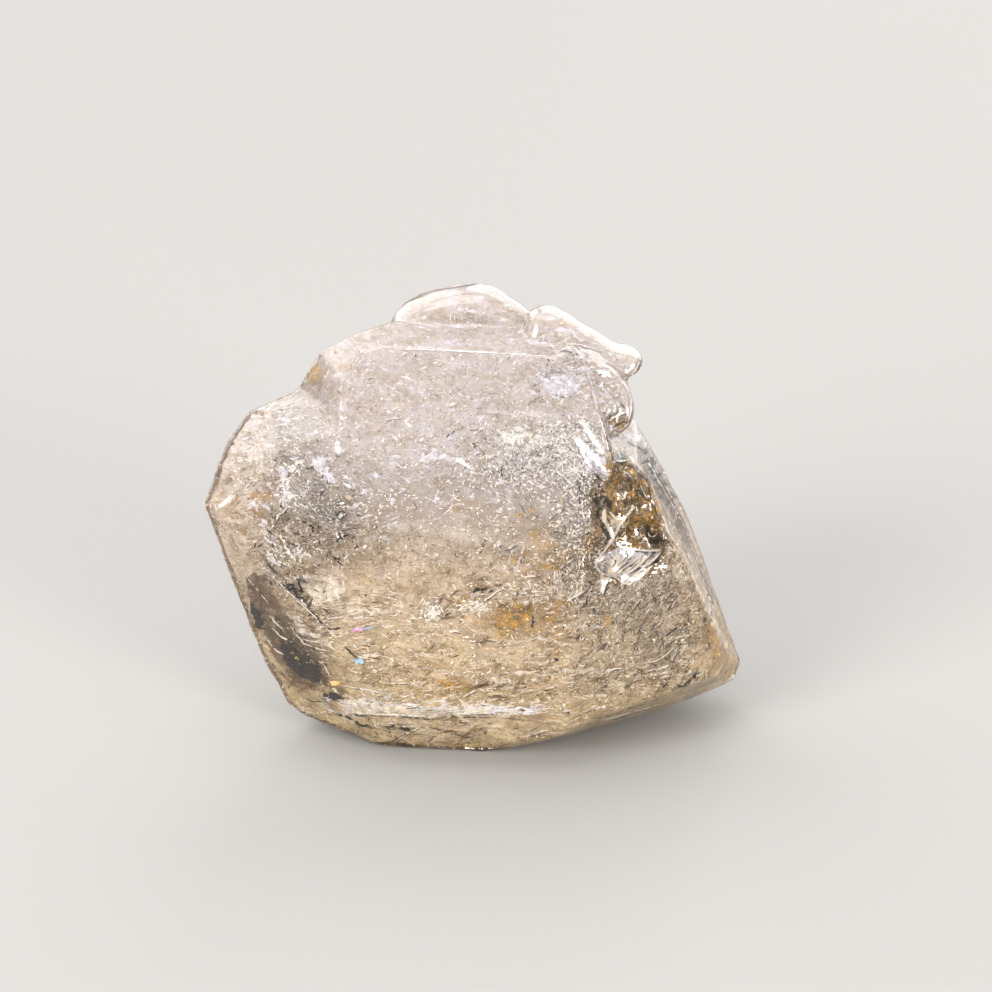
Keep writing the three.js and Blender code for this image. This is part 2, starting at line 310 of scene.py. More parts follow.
class Finish(Enum):
    """The finishes of what lies inside the crystal."""

    SPARK = Film("bright_fleck", (0.98, 0.94, 0.94), (0.98, 0.91, 0.80), (0.78, 0.68, 0.52), metallic=0.9,
                 roughness=0.22)
    # White: frosted cracks, and also painted highlights: the glints, the glare and the white rims along the
    # edges.
    FROST = Film("frosted_crack_and_highlight", (1.0, 0.98, 1.0), (1.0, 0.95, 0.86), (0.95, 0.89, 0.82), roughness=0.5)
    CRACKLE = Film("crackle", (0.84, 0.76, 0.74), (0.84, 0.66, 0.41), (0.34, 0.24, 0.14))
    MILK = Film("milky_film", (0.99, 0.94, 0.95), (0.98, 0.88, 0.72), (0.92, 0.78, 0.58), cover=0.9, bare=0.3,
                patch=0.8)
    CLOUD = Film("healed_cloud", (0.81, 0.75, 0.73), (0.80, 0.645, 0.38), (0.32, 0.21, 0.10), roughness=0.6,
                 cover=0.97, bare=0.7, patch=2.6, grain=0.7)
    MIST = Film("crown_mist", (0.67, 0.62, 0.645), (0.68, 0.60, 0.54), (0.44, 0.36, 0.28), roughness=0.6,
                cover=0.95, bare=0.8, patch=0.5, grain=0.7)
    LILAC = Film("lilac_film", (0.93, 0.90, 0.97), (0.92, 0.88, 0.92), (0.80, 0.76, 0.84), cover=0.95,
                 bare=0.5,
                 patch=0.6)
    HONEY = Film("honey_stain", (0.78, 0.58, 0.30), (0.70, 0.46, 0.16), (0.54, 0.31, 0.08), cover=0.6,
                 bare=0.1,
                 patch=1.6, slot="iron_stain")
    IRON = Film("iron_stain", (0.66, 0.38, 0.08), (0.66, 0.38, 0.06), (0.04, 0.024, 0.012), roughness=0.6,
                cover=0.95, bare=0.2, patch=0.7, slot="iron_stain")
    # Near black: smoky flecks and cracks, and also painted shadow: the dark edges beside bright cracks, the
    # shade in the pit and the marks named shadow.
    SMOKE = Film("smoky_film_and_shadow", (0.028, 0.020, 0.016), (0.030, 0.017, 0.010), (0.008, 0.006, 0.004),
                 roughness=0.3,
                 slot="iron_stain")
    UMBER = Film("umber_fleck", (0.16, 0.11, 0.07), (0.20, 0.10, 0.03), (0.02, 0.014, 0.010),
                 slot="iron_stain")
    # Brown films, and also painted shade: the marks named shadow, the dark gap in the fan and the darkened
    # right strip.
    SHADE = Film("brown_film_and_shade", (0.30, 0.21, 0.14), (0.24, 0.14, 0.06), (0.09, 0.05, 0.02), roughness=0.35,
                 cover=0.95, bare=0.3, patch=1.1, slot="iron_stain")
    MAGENTA = Film("magenta_glint", (0.95, 0.35, 0.85), (0.95, 0.35, 0.85), (0.95, 0.75, 0.95), metallic=0.3)
    AZURE = Film("azure_glint", (0.30, 0.62, 0.98), (0.30, 0.62, 0.98), (0.75, 0.90, 1.0), metallic=0.3)
    AMBER = Film("amber_glint", (1.0, 0.66, 0.15), (1.0, 0.66, 0.15), (1.0, 0.85, 0.5), metallic=0.3)

    @property
    def material(self) -> bpy.types.Material:
        """The finish's material, made once."""
        return bpy.data.materials.get(self.value.name) or self.value.material()


def joined(name: str, finish: Finish, points: np.ndarray, faces: np.ndarray, tones: np.ndarray,
           fades: np.ndarray | None = None) -> bpy.types.Object:
    """Make one object from points and faces, dress it and let it ride on the crystal.

    Args:
        name: The object's name.
        finish: The finish.
        points: The points in millimetres.
        faces: Rows of three point numbers.
        tones: How dark each point is, from 0 to 1.
        fades: How strongly each point covers, from 0 to 1, or None for all of it.

    Returns:
        The new object.
    """
    mesh = bpy.data.meshes.new(name)
    mesh.from_pydata((points * MM).tolist(), [], faces.tolist())
    for label, values in (("tone", tones), ("fade", np.ones(len(points)) if fades is None else fades)):
        mesh.attributes.new(label, "FLOAT", "POINT").data.foreach_set("value", values.astype(np.float32))
    mesh.materials.append(finish.material)
    piece = bpy.data.objects.new(name, mesh)
    bpy.context.scene.collection.objects.link(piece)
    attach(piece, BODY)
    return piece


def taken(shape: bmesh.types.BMesh) -> tuple[np.ndarray, np.ndarray]:
    """Triangulate a shape, free it and return its points and its triangles."""
    bmesh.ops.triangulate(shape, faces=shape.faces[:])
    shape.verts.index_update()
    points = np.array([vert.co[:] for vert in shape.verts]).reshape(-1, 3)
    faces = np.array([[vert.index for vert in face.verts] for face in shape.faces], dtype=int).reshape(-1, 3)
    shape.free()
    return points, faces


@dataclass(frozen=True)
class Eye:
    """The eye that looks at the crystal as the photograph does, a pinhole over a square frame."""

    elevation: float = 22.0
    distance: float = 400.0
    target: Colour = (1.86, -0.935, 21.2)
    pixel: float = 0.09
    frame: int = 992
    sensor: float = 36.0

    @property
    def forward(self) -> Vector:
        """The way that it looks."""
        angle = math.radians(self.elevation)
        return Vector((0.0, math.cos(angle), -math.sin(angle)))

    @property
    def up(self) -> Vector:
        """The way that is up in its picture."""
        angle = math.radians(self.elevation)
        return Vector((0.0, math.sin(angle), math.cos(angle)))

    @property
    def position(self) -> Vector:
        """Where it stands, in millimetres."""
        return Vector(self.target) - self.forward * self.distance

    def ray(self, u: float, v: float) -> Vector:
        """Find the way to a pixel.

        Args:
            u: The pixel's place from the frame's left edge.
            v: The pixel's place from the frame's top edge.

        Returns:
            The unit vector from the eye through the pixel.
        """
        half = self.frame / 2
        across = Vector((1.0, 0.0, 0.0)) * ((u - half) * self.pixel)
        upward = self.up * ((half - v) * self.pixel)
        return (self.forward * self.distance + across + upward).normalized()

    def camera(self) -> bpy.types.Object:
        """Make the camera and make it the scene's own.

        Returns:
            The camera's object.
        """
        data = bpy.data.cameras.new("view")
        data.sensor_width = self.sensor
        data.lens = self.sensor * self.distance / (self.pixel * self.frame)
        data.clip_start = 0.01
        camera = bpy.data.objects.new("view", data)
        turn = self.forward.to_track_quat("-Z", "Y")
        camera.matrix_world = Matrix.Translation(self.position * MM) @ turn.to_matrix().to_4x4()
        bpy.context.scene.collection.objects.link(camera)
        bpy.context.scene.camera = camera
        return camera


@dataclass(frozen=True)
class Lump:
    """A rounded region of the crystal, by its middle and half sizes in millimetres."""

    middle: Colour
    half: Colour

    def weight(self, points: np.ndarray) -> np.ndarray:
        """Grade points from 1 in the region's heart to 0 outside it."""
        reach = np.linalg.norm((points - np.array(self.middle)) / np.array(self.half), axis=1)
        return 1.0 - smooth_step(0.75, 1.15, reach)


PIT = (
    Lump((13.1, -9.0, 24.8), (3.4, 3.6, 4.4)),
    Lump((14.1, -8.4, 20.6), (3.5, 3.4, 4.2)),
    Lump((12.0, -9.8, 19.6), (2.8, 2.6, 3.2)),
    Lump((15.7, -6.9, 24.4), (2.1, 2.6, 4.0)),
)


def pit_weight(points: np.ndarray) -> np.ndarray:
    """Grade points from 1 in the pit to 0 outside it."""
    return np.max([lump.weight(points) for lump in PIT], axis=0)


def top_weight(points: np.ndarray, normals: np.ndarray) -> np.ndarray:
    """Grade points of the skin from 1 on the upper faces to 0 on the lower ones."""
    upward = smooth_step(-0.3, 0.3, normals[:, 2] - 0.4 * normals[:, 1])
    return smooth_step(17.0, 28.0, points[:, 2]) * smooth_step(-19.0, -12.0, points[:, 0]) * upward


def cloud_weight(points: np.ndarray, normals: np.ndarray) -> np.ndarray:
    """Grade points of the skin from 1 outside the pit to 0 in it, and to half on the clearer back."""
    return (1.0 - pit_weight(points)) * (1.0 - 0.5 * smooth_step(0.0, 0.5, normals[:, 1]))


def crust_weight(points: np.ndarray, _: np.ndarray) -> np.ndarray:
    """Grade points of the skin from 1 in the pit to 0 outside it."""
    return pit_weight(points)


def even_mesh(name: str, voxel: float, rounding: int) -> bpy.types.Mesh:
    """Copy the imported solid, merge it and give it an evenly spaced, softened mesh.

    Args:
        name: The mesh's name.
        voxel: The mesh's spacing in millimetres.
        rounding: How many times it is smoothed.

    Returns:
        The new mesh, in metres.
    """
    shape = bmesh.new()
    shape.from_mesh(frame["nodes"][NODE].data)
    bmesh.ops.remove_doubles(shape, verts=shape.verts, dist=MM * 1e-3)
    mesh = bpy.data.meshes.new(name)
    shape.to_mesh(mesh)
    shape.free()
    piece = bpy.data.objects.new(name, mesh)
    bpy.context.scene.collection.objects.link(piece)
    remesh = piece.modifiers.new("even", "REMESH")
    remesh.mode = "VOXEL"
    remesh.voxel_size = voxel * MM
    soften = piece.modifiers.new("soft", "SMOOTH")
    soften.factor = 0.5
    soften.iterations = rounding
    graph = bpy.context.evaluated_depsgraph_get()
    fine = bpy.data.meshes.new_from_object(piece.evaluated_get(graph))
    bpy.data.objects.remove(piece)
    bpy.data.meshes.remove(mesh)
    fine.name = name
    return fine


def read_points(mesh: bpy.types.Mesh) -> tuple[np.ndarray, np.ndarray]:
    """Read a mesh's points, in millimetres, and its point normals."""
    count = len(mesh.vertices)
    points = np.empty(count * 3)
    normals = np.empty(count * 3)
    mesh.vertices.foreach_get("co", points)
    mesh.vertices.foreach_get("normal", normals)
    return points.reshape(-1, 3) / MM, normals.reshape(-1, 3)


@dataclass
class Skin:
    """The crystal's outside: its solid's form, softened at the edges, with growth relief."""

    voxel: float = 0.26
    rounding: int = 2
    swell: float = 0.10
    swell_length: float = 6.0
    terrace: float = 0.05
    terrace_count: float = 9.0
    terrace_length: float = 11.0
    pit_depth: float = 0.36
    finish: ClearQuartz = field(default_factory=ClearQuartz)

    def relief(self, points: np.ndarray, pit: np.ndarray) -> np.ndarray:
        """Work out how far each point of the skin moves out along its normal.

        Args:
            points: The skin's points in millimetres.
            pit: How far each point is in the pit, from 0 to 1.

        Returns:
            One distance a point, in millimetres, mostly inwards.
        """
        swell = noise_at(points, self.swell_length)
        layers = self.terrace_count * (0.5 + 0.5 * noise_at(points, self.terrace_length, 3.7))
        part = layers - np.floor(layers)
        terraces = np.floor(layers) + smooth_step(0.42, 0.58, part) - 0.5 * self.terrace_count
        crags = noise_at(points, 1.3, 9.1) + 0.6 * np.abs(noise_at(points, 0.6, 2.2))
        moved = self.swell * (swell + 0.4) + self.terrace * terraces
        return moved * (1.0 - pit) + pit * self.pit_depth * (crags - 0.3)

    def build(self) -> bpy.types.Object:
        """Build and dress the skin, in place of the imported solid.

        Returns:
            The skin's object.
        """
        mesh = even_mesh("crystal", self.voxel, self.rounding)
        points, normals = read_points(mesh)
        pit = pit_weight(points)
        top = top_weight(points, normals)
        level = smooth_step(0.0, 0.6, points[:, 2])
        points += normals * (self.relief(points, pit) * level)[:, None]
        mesh.vertices.foreach_set("co", (points * MM).ravel())
        for name, values in (("pit", pit), ("top", top)):
            mesh.attributes.new(name, "FLOAT", "POINT").data.foreach_set("value", values.astype(np.float32))
        mesh.shade_smooth()
        mesh.update()
        mesh.materials.clear()
        mesh.materials.append(self.finish.material())
        piece = bpy.data.objects.new("crystal", mesh)
        bpy.context.scene.collection.objects.link(piece)
        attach(piece, BODY)
        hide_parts(NODE)
        return piece


@dataclass(frozen=True)
class Spot:
    """A place inside the crystal: its point, the skin's normal over it and the line of sight."""

    point: Vector
    normal: Vector
    sight: Vector


class Inside:
    """The space inside the skin, where fractures and stains are placed."""

    def __init__(self, skin: bpy.types.Object, eye: Eye) -> None:
        """Index the skin for the tests of what lies inside it.

        Args:
            skin: The crystal's skin.
            eye: The eye that pixels are read with.
        """
        shape = bmesh.new()
        shape.from_mesh(skin.data)
        bmesh.ops.scale(shape, vec=Vector((1, 1, 1)) / MM, verts=shape.verts)
        self.tree = BVHTree.FromBMesh(shape)
        shape.free()
        self.points, self.normals = read_points(skin.data)
        self.eye = eye

    def under(self, u: float, v: float, depth: float) -> Spot | None:
        """Find the place that a pixel shows at a depth under the skin.

        Args:
            u: The pixel's column.
            v: The pixel's row.
            depth: The distance past the skin, along the bent line of sight.

        Returns:
            The place, or None where the pixel misses the crystal or the depth goes through it.
        """
        sight = self.eye.ray(u, v)
        hit, normal, _, _ = self.tree.ray_cast(self.eye.position, sight)
        if hit is None:
            return None
        ratio = 1.0 / QUARTZ_IOR
        facing = -sight.dot(normal)
        inward = ratio * facing - math.sqrt(1.0 - ratio * ratio * (1.0 - facing * facing))
        bent = sight * ratio + normal * inward
        bent.normalize()
        through, _, _, reach = self.tree.ray_cast(hit + bent * 0.02, bent)
        if through is None or reach < depth + 0.1:
            return None
        return Spot(hit + bent * depth, normal, bent)

    def holds(self, point: Vector, margin: float) -> bool:
        """Tell whether a point is inside the skin by at least a margin."""
        near, normal, _, gap = self.tree.find_nearest(point)
        return near is not None and gap > margin and (point - near).dot(normal) < 0.0

    def round_about(self, chance: random.Random, depth: float) -> Spot:
        """Draw a place at a depth under a random point of the skin."""
        index = chance.randrange(len(self.points))
        normal = Vector(self.normals[index])
        return Spot(Vector(self.points[index]) - normal * depth, normal, self.eye.forward)


class Form(Enum):
    """The forms that small fractures take."""

    CHIP = "chip"
    THREAD = "thread"


@dataclass(frozen=True)
class Patch:
    """A soft-edged spot of the photograph where small fractures gather, in its pixels."""

    u: float
    v: float
    wide: float
    high: float
    share: float = 1.0

    def draw(self, chance: random.Random) -> tuple[float, float]:
        """Draw a pixel near the spot's middle."""
        return chance.gauss(self.u, self.wide / 2), chance.gauss(self.v, self.high / 2)


@dataclass
class Swarm:
    """Many small fractures of one kind, joined in one mesh."""

    name: str
    finish: Finish
    form: Form
    count: int
    size: tuple[float, float]
    stretch: tuple[float, float] = (1.0, 2.0)
    depth: tuple[float, float] = (0.3, 3.0)
    patches: tuple[Patch, ...] = ()
    angle: tuple[float, float] = (0.0, 90.0)
    tilt: float = 0.6
    seed: int = 0
    shapes: int = 24
    tries_each: int = 6
    margin: float = 0.05

    def template(self, chance: random.Random) -> tuple[np.ndarray, np.ndarray]:
        """Make one fracture of unit size, lying flat and centred.

        Args:
            chance: The source of its irregularity.

        Returns:
            Its points, and its triangles as rows of three point numbers.
        """
        shape = bmesh.new()
        if self.form is Form.CHIP:
            bmesh.ops.create_circle(shape, cap_ends=True, segments=chance.choice((4, 5, 6)), radius=0.5)
            for vert in shape.verts:
                vert.co *= chance.uniform(0.45, 1.15)
                vert.co.z = chance.uniform(-0.12, 0.12)
        else:
            bmesh.ops.create_grid(shape, x_segments=6, y_segments=1, size=0.5)
            bow = chance.uniform(-1.2, 1.2)
            wander = chance.uniform(0.0, 0.5)
            phase = chance.uniform(0.0, math.tau)
            for vert in shape.verts:
                along = vert.co.x
                width = math.cos(math.pi * along) ** 0.6 if abs(along) < 0.49 else 0.15
                sway = bow * (along * along - 0.1) + wander * math.sin(9.0 * along + phase)
                vert.co.y = vert.co.y * max(width, 0.15) + sway
                vert.co.z = chance.uniform(-0.15, 0.15)
        return taken(shape)

    def spot(self, inside: Inside, chance: random.Random) -> Spot | None:
        """Draw a place for one fracture.

        Args:
            inside: The space inside the skin.
            chance: The source of the draw.

        Returns:
            A place, or None where the draw missed the crystal.
        """
        low, high = self.depth
        depth = low + (high - low) * chance.random() ** 2
        if not self.patches:
            return inside.round_about(chance, depth)
        patch = chance.choices(self.patches, weights=[patch.share for patch in self.patches])[0]
        return inside.under(*patch.draw(chance), depth)

    def place(self, spot: Spot, chance: random.Random) -> Matrix:
        """Work out how a fracture lies at a place.

        Args:
            spot: The place.
            chance: The source of its turn and size.

        Returns:
            The matrix from the unit fracture to its place, in millimetres.
        """
        wild = Vector((chance.gauss(0, 1), chance.gauss(0, 1), chance.gauss(0, 1))).normalized()
        facing = (spot.normal.lerp(-spot.sight, 0.3) * (1.0 - self.tilt) + wild * self.tilt).normalized()
        middle, spread = self.angle
        turn = math.radians(chance.gauss(middle, spread))
        right = Vector((1.0, 0.0, 0.0))
        upward = Vector((0.0, 0.37, 0.93))
        along = right * math.cos(turn) + upward * math.sin(turn)
        along = (along - facing * along.dot(facing)).normalized()
        across = facing.cross(along)
        size = self.size[0] + (self.size[1] - self.size[0]) * chance.random() ** 2.5
        stretch = chance.uniform(*self.stretch)
        axes = Matrix((along * size * math.sqrt(stretch), across * size / math.sqrt(stretch), facing * size))
        return Matrix.Translation(spot.point) @ axes.transposed().to_4x4()

    def build(self, inside: Inside) -> bpy.types.Object:
        """Build the swarm.

        Args:
            inside: The space inside the skin.

        Returns:
            The joined mesh's object.
        """
        chance = random.Random(SEED + self.seed)
        templates = [self.template(chance) for _ in range(self.shapes)]
        points, faces, tones = [], [], []
        total = made = tries = 0
        while made < self.count and tries < self.count * self.tries_each:
            tries += 1
            spot = self.spot(inside, chance)
            if spot is None:
                continue
            flat, triangles = chance.choice(templates)
            matrix = np.array(self.place(spot, chance))
            placed = flat @ matrix[:3, :3].T + matrix[:3, 3]
            if not all(inside.holds(Vector(row), self.margin) for row in placed):
                continue
            points.append(placed)
            faces.append(triangles + total)
            tones.append(np.full(len(placed), chance.random() ** 1.5))
            total += len(placed)
            made += 1
        whole = (np.concatenate(rows) for rows in (points, faces, tones))
        return joined(self.name, self.finish, *whole)


@dataclass(frozen=True)
class Crack:
    """A narrow crack that shows at a line of pixels."""

    name: str
    finish: Finish
    width: float
    line: Pixels
    depth: float = 0.14
    wobble: float = 0.3
    jag: float = 1.2
    step: float = 1.5
    tip: float = 0.10
    belly: float = 0.50
    taper: float = 5.0
    gaps_over: float = 0.38

    @property
    def length(self) -> float:
        """The line's length in pixels."""
        return sum((Vector(after) - Vector(before)).length for before, after in zip(self.line, self.line[1:]))

    def at(self, share: float) -> tuple[Vector, Vector]:
        """Find the pixel at a share of the line's length, and the line's way there."""
        knots = [Vector(pixel) for pixel in self.line]
        left = share * self.length
        for before, after in zip(knots, knots[1:]):
            length = (after - before).length
            if left <= length or after is knots[-1]:
                return before.lerp(after, min(left / length, 1.0)), (after - before) / length
            left -= length
        return knots[-1], Vector((1.0, 0.0))

    def trace(self, inside: Inside) -> tuple[np.ndarray, np.ndarray]:
        """Lay a ribbon under the line.

        Args:
            inside: The space inside the skin.

        Returns:
            The ribbon's points in millimetres, and its triangles.
        """
        slope = random.Random(f"{SEED} {self.name}").uniform(-0.6, 0.6)
        shape = bmesh.new()
        bmesh.ops.create_grid(shape, x_segments=max(4, int(self.length / self.step)), y_segments=2, size=0.5)
        lost = []
        for vert in shape.verts:
            share = min(max(vert.co.x + 0.5, 0.0), 1.0)
            pixel, way = self.at(share)
            run = share * self.length
            swell = min(1.0, self.taper * share, self.taper * (1.0 - share))
            half = self.width * (self.tip + self.belly * swell)
            half *= 1.0 + self.jag * noise.noise(Vector((run / 2.0, vert.co.y * 3.0, slope * 9.0)))
            broken = noise.noise(Vector((run / 4.0, slope * 9.0, 5.0))) > self.gaps_over
            swerve = self.wobble * self.width * noise.noise(Vector((run / 5.0, slope * 9.0, 0.0)))
            aside = half * vert.co.y + swerve
            depth = self.depth + slope * vert.co.y * self.width * inside.eye.pixel
            spot = inside.under(pixel.x - way.y * aside, pixel.y + way.x * aside, max(depth, LEAST_DEPTH))
            if spot is None or broken:
                lost.append(vert)
            else:
                vert.co = spot.point
        bmesh.ops.delete(shape, geom=lost, context="VERTS")
        return taken(shape)

    def lip(self) -> "Crack":
        """Return the thin dark edge that lies beside a bright crack: a painted shadow."""
        aside = 0.45 * self.width + 0.4
        line = tuple((u + aside, v + aside) for u, v in self.line)
        return replace(self, name=self.name + " lip", finish=Finish.SMOKE, width=0.5 * self.width, line=line)


@dataclass(frozen=True)
class Sheet:
    """A broader film that shows at an outline of pixels."""

    name: str
    finish: Finish
    outline: Pixels
    depth: float = 0.16
    crumple: float = 0.08
    ragged: float = 4.0
    step: float = 1.4
    tear_wide: float = 6.0
    tear_high: float = 4.0

    def covers(self, u: float, v: float) -> bool:
        """Tell whether a pixel is inside the outline."""
        within = False
        for (u_1, v_1), (u_2, v_2) in zip(self.outline, self.outline[1:] + self.outline[:1]):
            if (v_1 > v) != (v_2 > v) and u < u_1 + (v - v_1) / (v_2 - v_1) * (u_2 - u_1):
                within = not within
        return within

    def trace(self, inside: Inside) -> tuple[np.ndarray, np.ndarray]:
        """Lay a crumpled film under the outline.

        Args:
            inside: The space inside the skin.

        Returns:
            The film's points in millimetres, and its triangles.
        """
        (left, top), (right, foot) = np.min(self.outline, axis=0), np.max(self.outline, axis=0)
        columns = max(3, int((right - left) / self.step))
        rows = max(3, int((foot - top) / self.step))
        shape = bmesh.new()
        bmesh.ops.create_grid(shape, x_segments=columns, y_segments=rows, size=0.5)
        lost = []
        for vert in shape.verts:
            u = left + (vert.co.x + 0.5) * (right - left)
            v = top + (vert.co.y + 0.5) * (foot - top)
            place = Vector((u / self.tear_wide, v / self.tear_high, 0.5))
            torn_u = u + self.ragged * noise.noise(place)
            torn_v = v + self.ragged * noise.noise(place + Vector((9.0, 0.0, 0.0)))
            fold = noise.noise(place / 1.4) + noise.noise(place * 1.5)
            spot = None
            if self.covers(torn_u, torn_v):
                spot = inside.under(u, v, max(self.depth + self.crumple * fold, LEAST_DEPTH))
            if spot is None:
                lost.append(vert)
            else:
                vert.co = spot.point
        bmesh.ops.delete(shape, geom=lost, context="VERTS")
        return taken(shape)


@dataclass
class Marks:
    """The cracks and films of one finish, joined in one mesh."""

    name: str
    finish: Finish

    def build(self, inside: Inside, marks: tuple[Crack | Sheet, ...]) -> bpy.types.Object:
        """Build the marks that have this finish.

        Args:
            inside: The space inside the skin.
            marks: All the marks.

        Returns:
            The joined mesh's object.
        """
        points, faces, total = [], [], 0
        for mark in marks:
            if mark.finish is self.finish:
                placed, triangles = mark.trace(inside)
                points.append(placed)
                faces.append(triangles + total)
                total += len(placed)
        whole = np.concatenate(points)
        tones = np.clip(0.4 + 0.9 * noise_at(whole, 0.9, 4.0), 0.0, 1.0)
        return joined(self.name, self.finish, whole, np.concatenate(faces), tones)


@dataclass
class Veil:
    """A healed fracture: a wavy sheet through the crystal, patchy and half see-through."""

    name: str
    finish: Finish
    u: float
    v: float
    depth: float
    wide: float
    high: float
    lean: float = 0.0
    swing: float = 0.0
    wave: float = 0.6
    steps: int = 34
    margin: float = 0.25
    reach: float = 0.375
    seed: int = 0

    def build(self, inside: Inside) -> bpy.types.Object:
        """Build the veil.

        Args:
            inside: The space inside the skin.

        Returns:
            The veil's object.
        """
        spot = inside.under(self.u, self.v, self.depth)
        swung = Matrix.Rotation(math.radians(self.swing), 4, "Z")
        leaning = Matrix.Rotation(math.radians(self.lean), 4, "X")
        upright = Matrix.Rotation(math.radians(90.0), 4, "X")
        turn = swung @ leaning @ upright
        shape = bmesh.new()
        bmesh.ops.create_grid(shape, x_segments=self.steps, y_segments=self.steps, size=0.5)
        for vert in shape.verts:
            vert.co.x *= self.wide
            vert.co.y *= self.high
            far = Vector((vert.co.x, vert.co.y, self.seed * 7.3))
            vert.co.z = self.wave * (noise.noise(far / 3.1) + 0.4 * noise.noise(far / 1.2))
        bmesh.ops.transform(shape, matrix=Matrix.Translation(spot.point) @ turn, verts=shape.verts)
        lost = [vert for vert in shape.verts if not inside.holds(vert.co, self.margin)]
        bmesh.ops.delete(shape, geom=lost, context="VERTS")
        points, faces = taken(shape)
        away = np.linalg.norm(points - np.array(spot.point), axis=1)
        share = away / (self.reach * math.hypot(self.wide, self.high))
        tones = np.clip(0.5 + 0.5 * noise_at(points, 2.0, self.seed), 0.0, 1.0)
        return joined(self.name, self.finish, points, faces, tones, 1.0 - smooth_step(0.35, 1.0, share))


@dataclass
class Lining:
    """A film that follows a region of the skin from inside."""

    name: str
    finish: Finish
    depth: float
    rough: float
    weight: Callable[[np.ndarray, np.ndarray], np.ndarray]
    wave: float = 0.9
    margin: float = 0.08

    def build(self, inside: Inside, mesh: bpy.types.Mesh) -> bpy.types.Object:
        """Build the film from the part of a skin's mesh where its weight is above nothing.

        Args:
            inside: The space inside the skin.
            mesh: The mesh to follow.

        Returns:
            The film's object.
        """
        points, normals = read_points(mesh)
        weights = self.weight(points, normals)
        bumps = 0.5 + 0.5 * noise_at(points, self.wave, 5.0) + 0.25 * noise_at(points, self.wave / 2.7, 8.0)
        sunk = points - normals * (self.depth + self.rough * bumps)[:, None]
        held = (inside.holds(Vector(row), self.margin) for row in sunk)
        keeps = [weight > 0.01 and hold for weight, hold in zip(weights, held)]
        shape = bmesh.new()
        shape.from_mesh(mesh)
        for vert, row in zip(shape.verts, sunk):
            vert.co = row
        lost = [vert for vert, keep in zip(shape.verts, keeps) if not keep]
        bmesh.ops.delete(shape, geom=lost, context="VERTS")
        placed, faces = taken(shape)
        tones = np.clip(0.5 + 0.6 * noise_at(placed, 2.4, 1.3), 0.0, 1.0)
        return joined(self.name, self.finish, placed, faces, tones, weights[keeps])


@dataclass
class Studio:
    """The plain pale floor, the soft light and the sky round it."""

    floor_size: float = 4.0
    floor_colour: Colour = (0.23, 0.226, 0.221)
    low_sky: Colour = (0.12, 0.11, 0.10)
    high_sky: Colour = (1.0, 0.97, 0.96)
    high_from: float = 0.60
    sky_strength: float = 1.08
    aim: Colour = (0.0, 0.0, 0.02)
    bounces: int = 12
    glossy_bounces: int = 6

    def floor(self) -> bpy.types.Object:
        """Make the floor."""
        shape = bmesh.new()
        bmesh.ops.create_grid(shape, x_segments=1, y_segments=1, size=self.floor_size / 2)
        mesh = bpy.data.meshes.new("floor")
        shape.to_mesh(mesh)
        shape.free()
        recipe = Recipe("floor")
        recipe.shader(Base_Color=self.floor_colour, Roughness=0.7)
        mesh.materials.append(recipe.material)
        piece = bpy.data.objects.new("floor", mesh)
        bpy.context.scene.collection.objects.link(piece)
        return piece

    def sky(self) -> None:
        """Light the world: bright overhead and dimmer towards the horizon."""
        world = bpy.data.worlds.new("studio")
        bpy.context.scene.world = world
        world.use_nodes = True
        tree = world.node_tree
        tree.nodes.clear()
        place = tree.nodes.new("ShaderNodeTexCoord")
        split = tree.nodes.new("ShaderNodeSeparateXYZ")
        ramp = tree.nodes.new("ShaderNodeValToRGB")
        ramp.color_ramp.elements[0].position = 0.0
        ramp.color_ramp.elements[0].color = (*self.low_sky, 1.0)
        ramp.color_ramp.elements[1].position = self.high_from
        ramp.color_ramp.elements[1].color = (*self.high_sky, 1.0)
        back = tree.nodes.new("ShaderNodeBackground")
        back.inputs["Strength"].default_value = self.sky_strength
        output = tree.nodes.new("ShaderNodeOutputWorld")
        tree.links.new(place.outputs["Generated"], split.inputs["Vector"])
        tree.links.new(split.outputs["Z"], ramp.inputs["Fac"])
        tree.links.new(ramp.outputs["Color"], back.inputs["Color"])
        tree.links.new(back.outputs["Background"], output.inputs["Surface"])

    def lamp(self, name: str, place: Colour, size: float, power: float, colour: Colour) -> None:
        """Add a large soft lamp that looks at the crystal.

        Args:
            name: The lamp's name.
            place: Where it hangs, in metres.
            size: Its side in metres.
            power: Its power in watts.
            colour: Its colour.
        """
        data = bpy.data.lights.new(name, "AREA")
        data.shape = "SQUARE"
        data.size = size
        data.energy = power
        data.color = colour
        lamp = bpy.data.objects.new(name, data)
        aim = Vector(self.aim) - Vector(place)
        turn = aim.to_track_quat("-Z", "Y").to_matrix().to_4x4()
        lamp.matrix_world = Matrix.Translation(Vector(place)) @ turn
        bpy.context.scene.collection.objects.link(lamp)

    def build(self) -> None:
        """Build the floor, the sky and the lamps."""
        self.floor()
        self.sky()
        self.lamp("overhead", (-0.10, 0.02, 0.75), 0.55, 3.2, (0.96, 0.97, 1.0))
        self.lamp("front_left", (-0.55, -0.60, 0.40), 0.45, 12.8, (1.0, 0.98, 0.955))
        self.lamp("front_right", (0.50, -0.65, 0.22), 0.35, 10.6, (1.0, 0.975, 0.93))
        self.lamp("back_left", (-0.60, 0.60, 0.50), 0.95, 9.0, (1.0, 0.98, 0.96))
        self.lamp("back_right", (0.40, 0.80, 0.40), 0.90, 8.0, (1.0, 0.985, 0.96))
        cycles = bpy.context.scene.cycles
        cycles.max_bounces = self.bounces
        cycles.transmission_bounces = self.bounces
        cycles.transparent_max_bounces = self.bounces
        cycles.glossy_bounces = self.glossy_bounces
        cycles.sample_clamp_indirect = 6.0
        bpy.context.scene.view_settings.view_transform = "Standard"


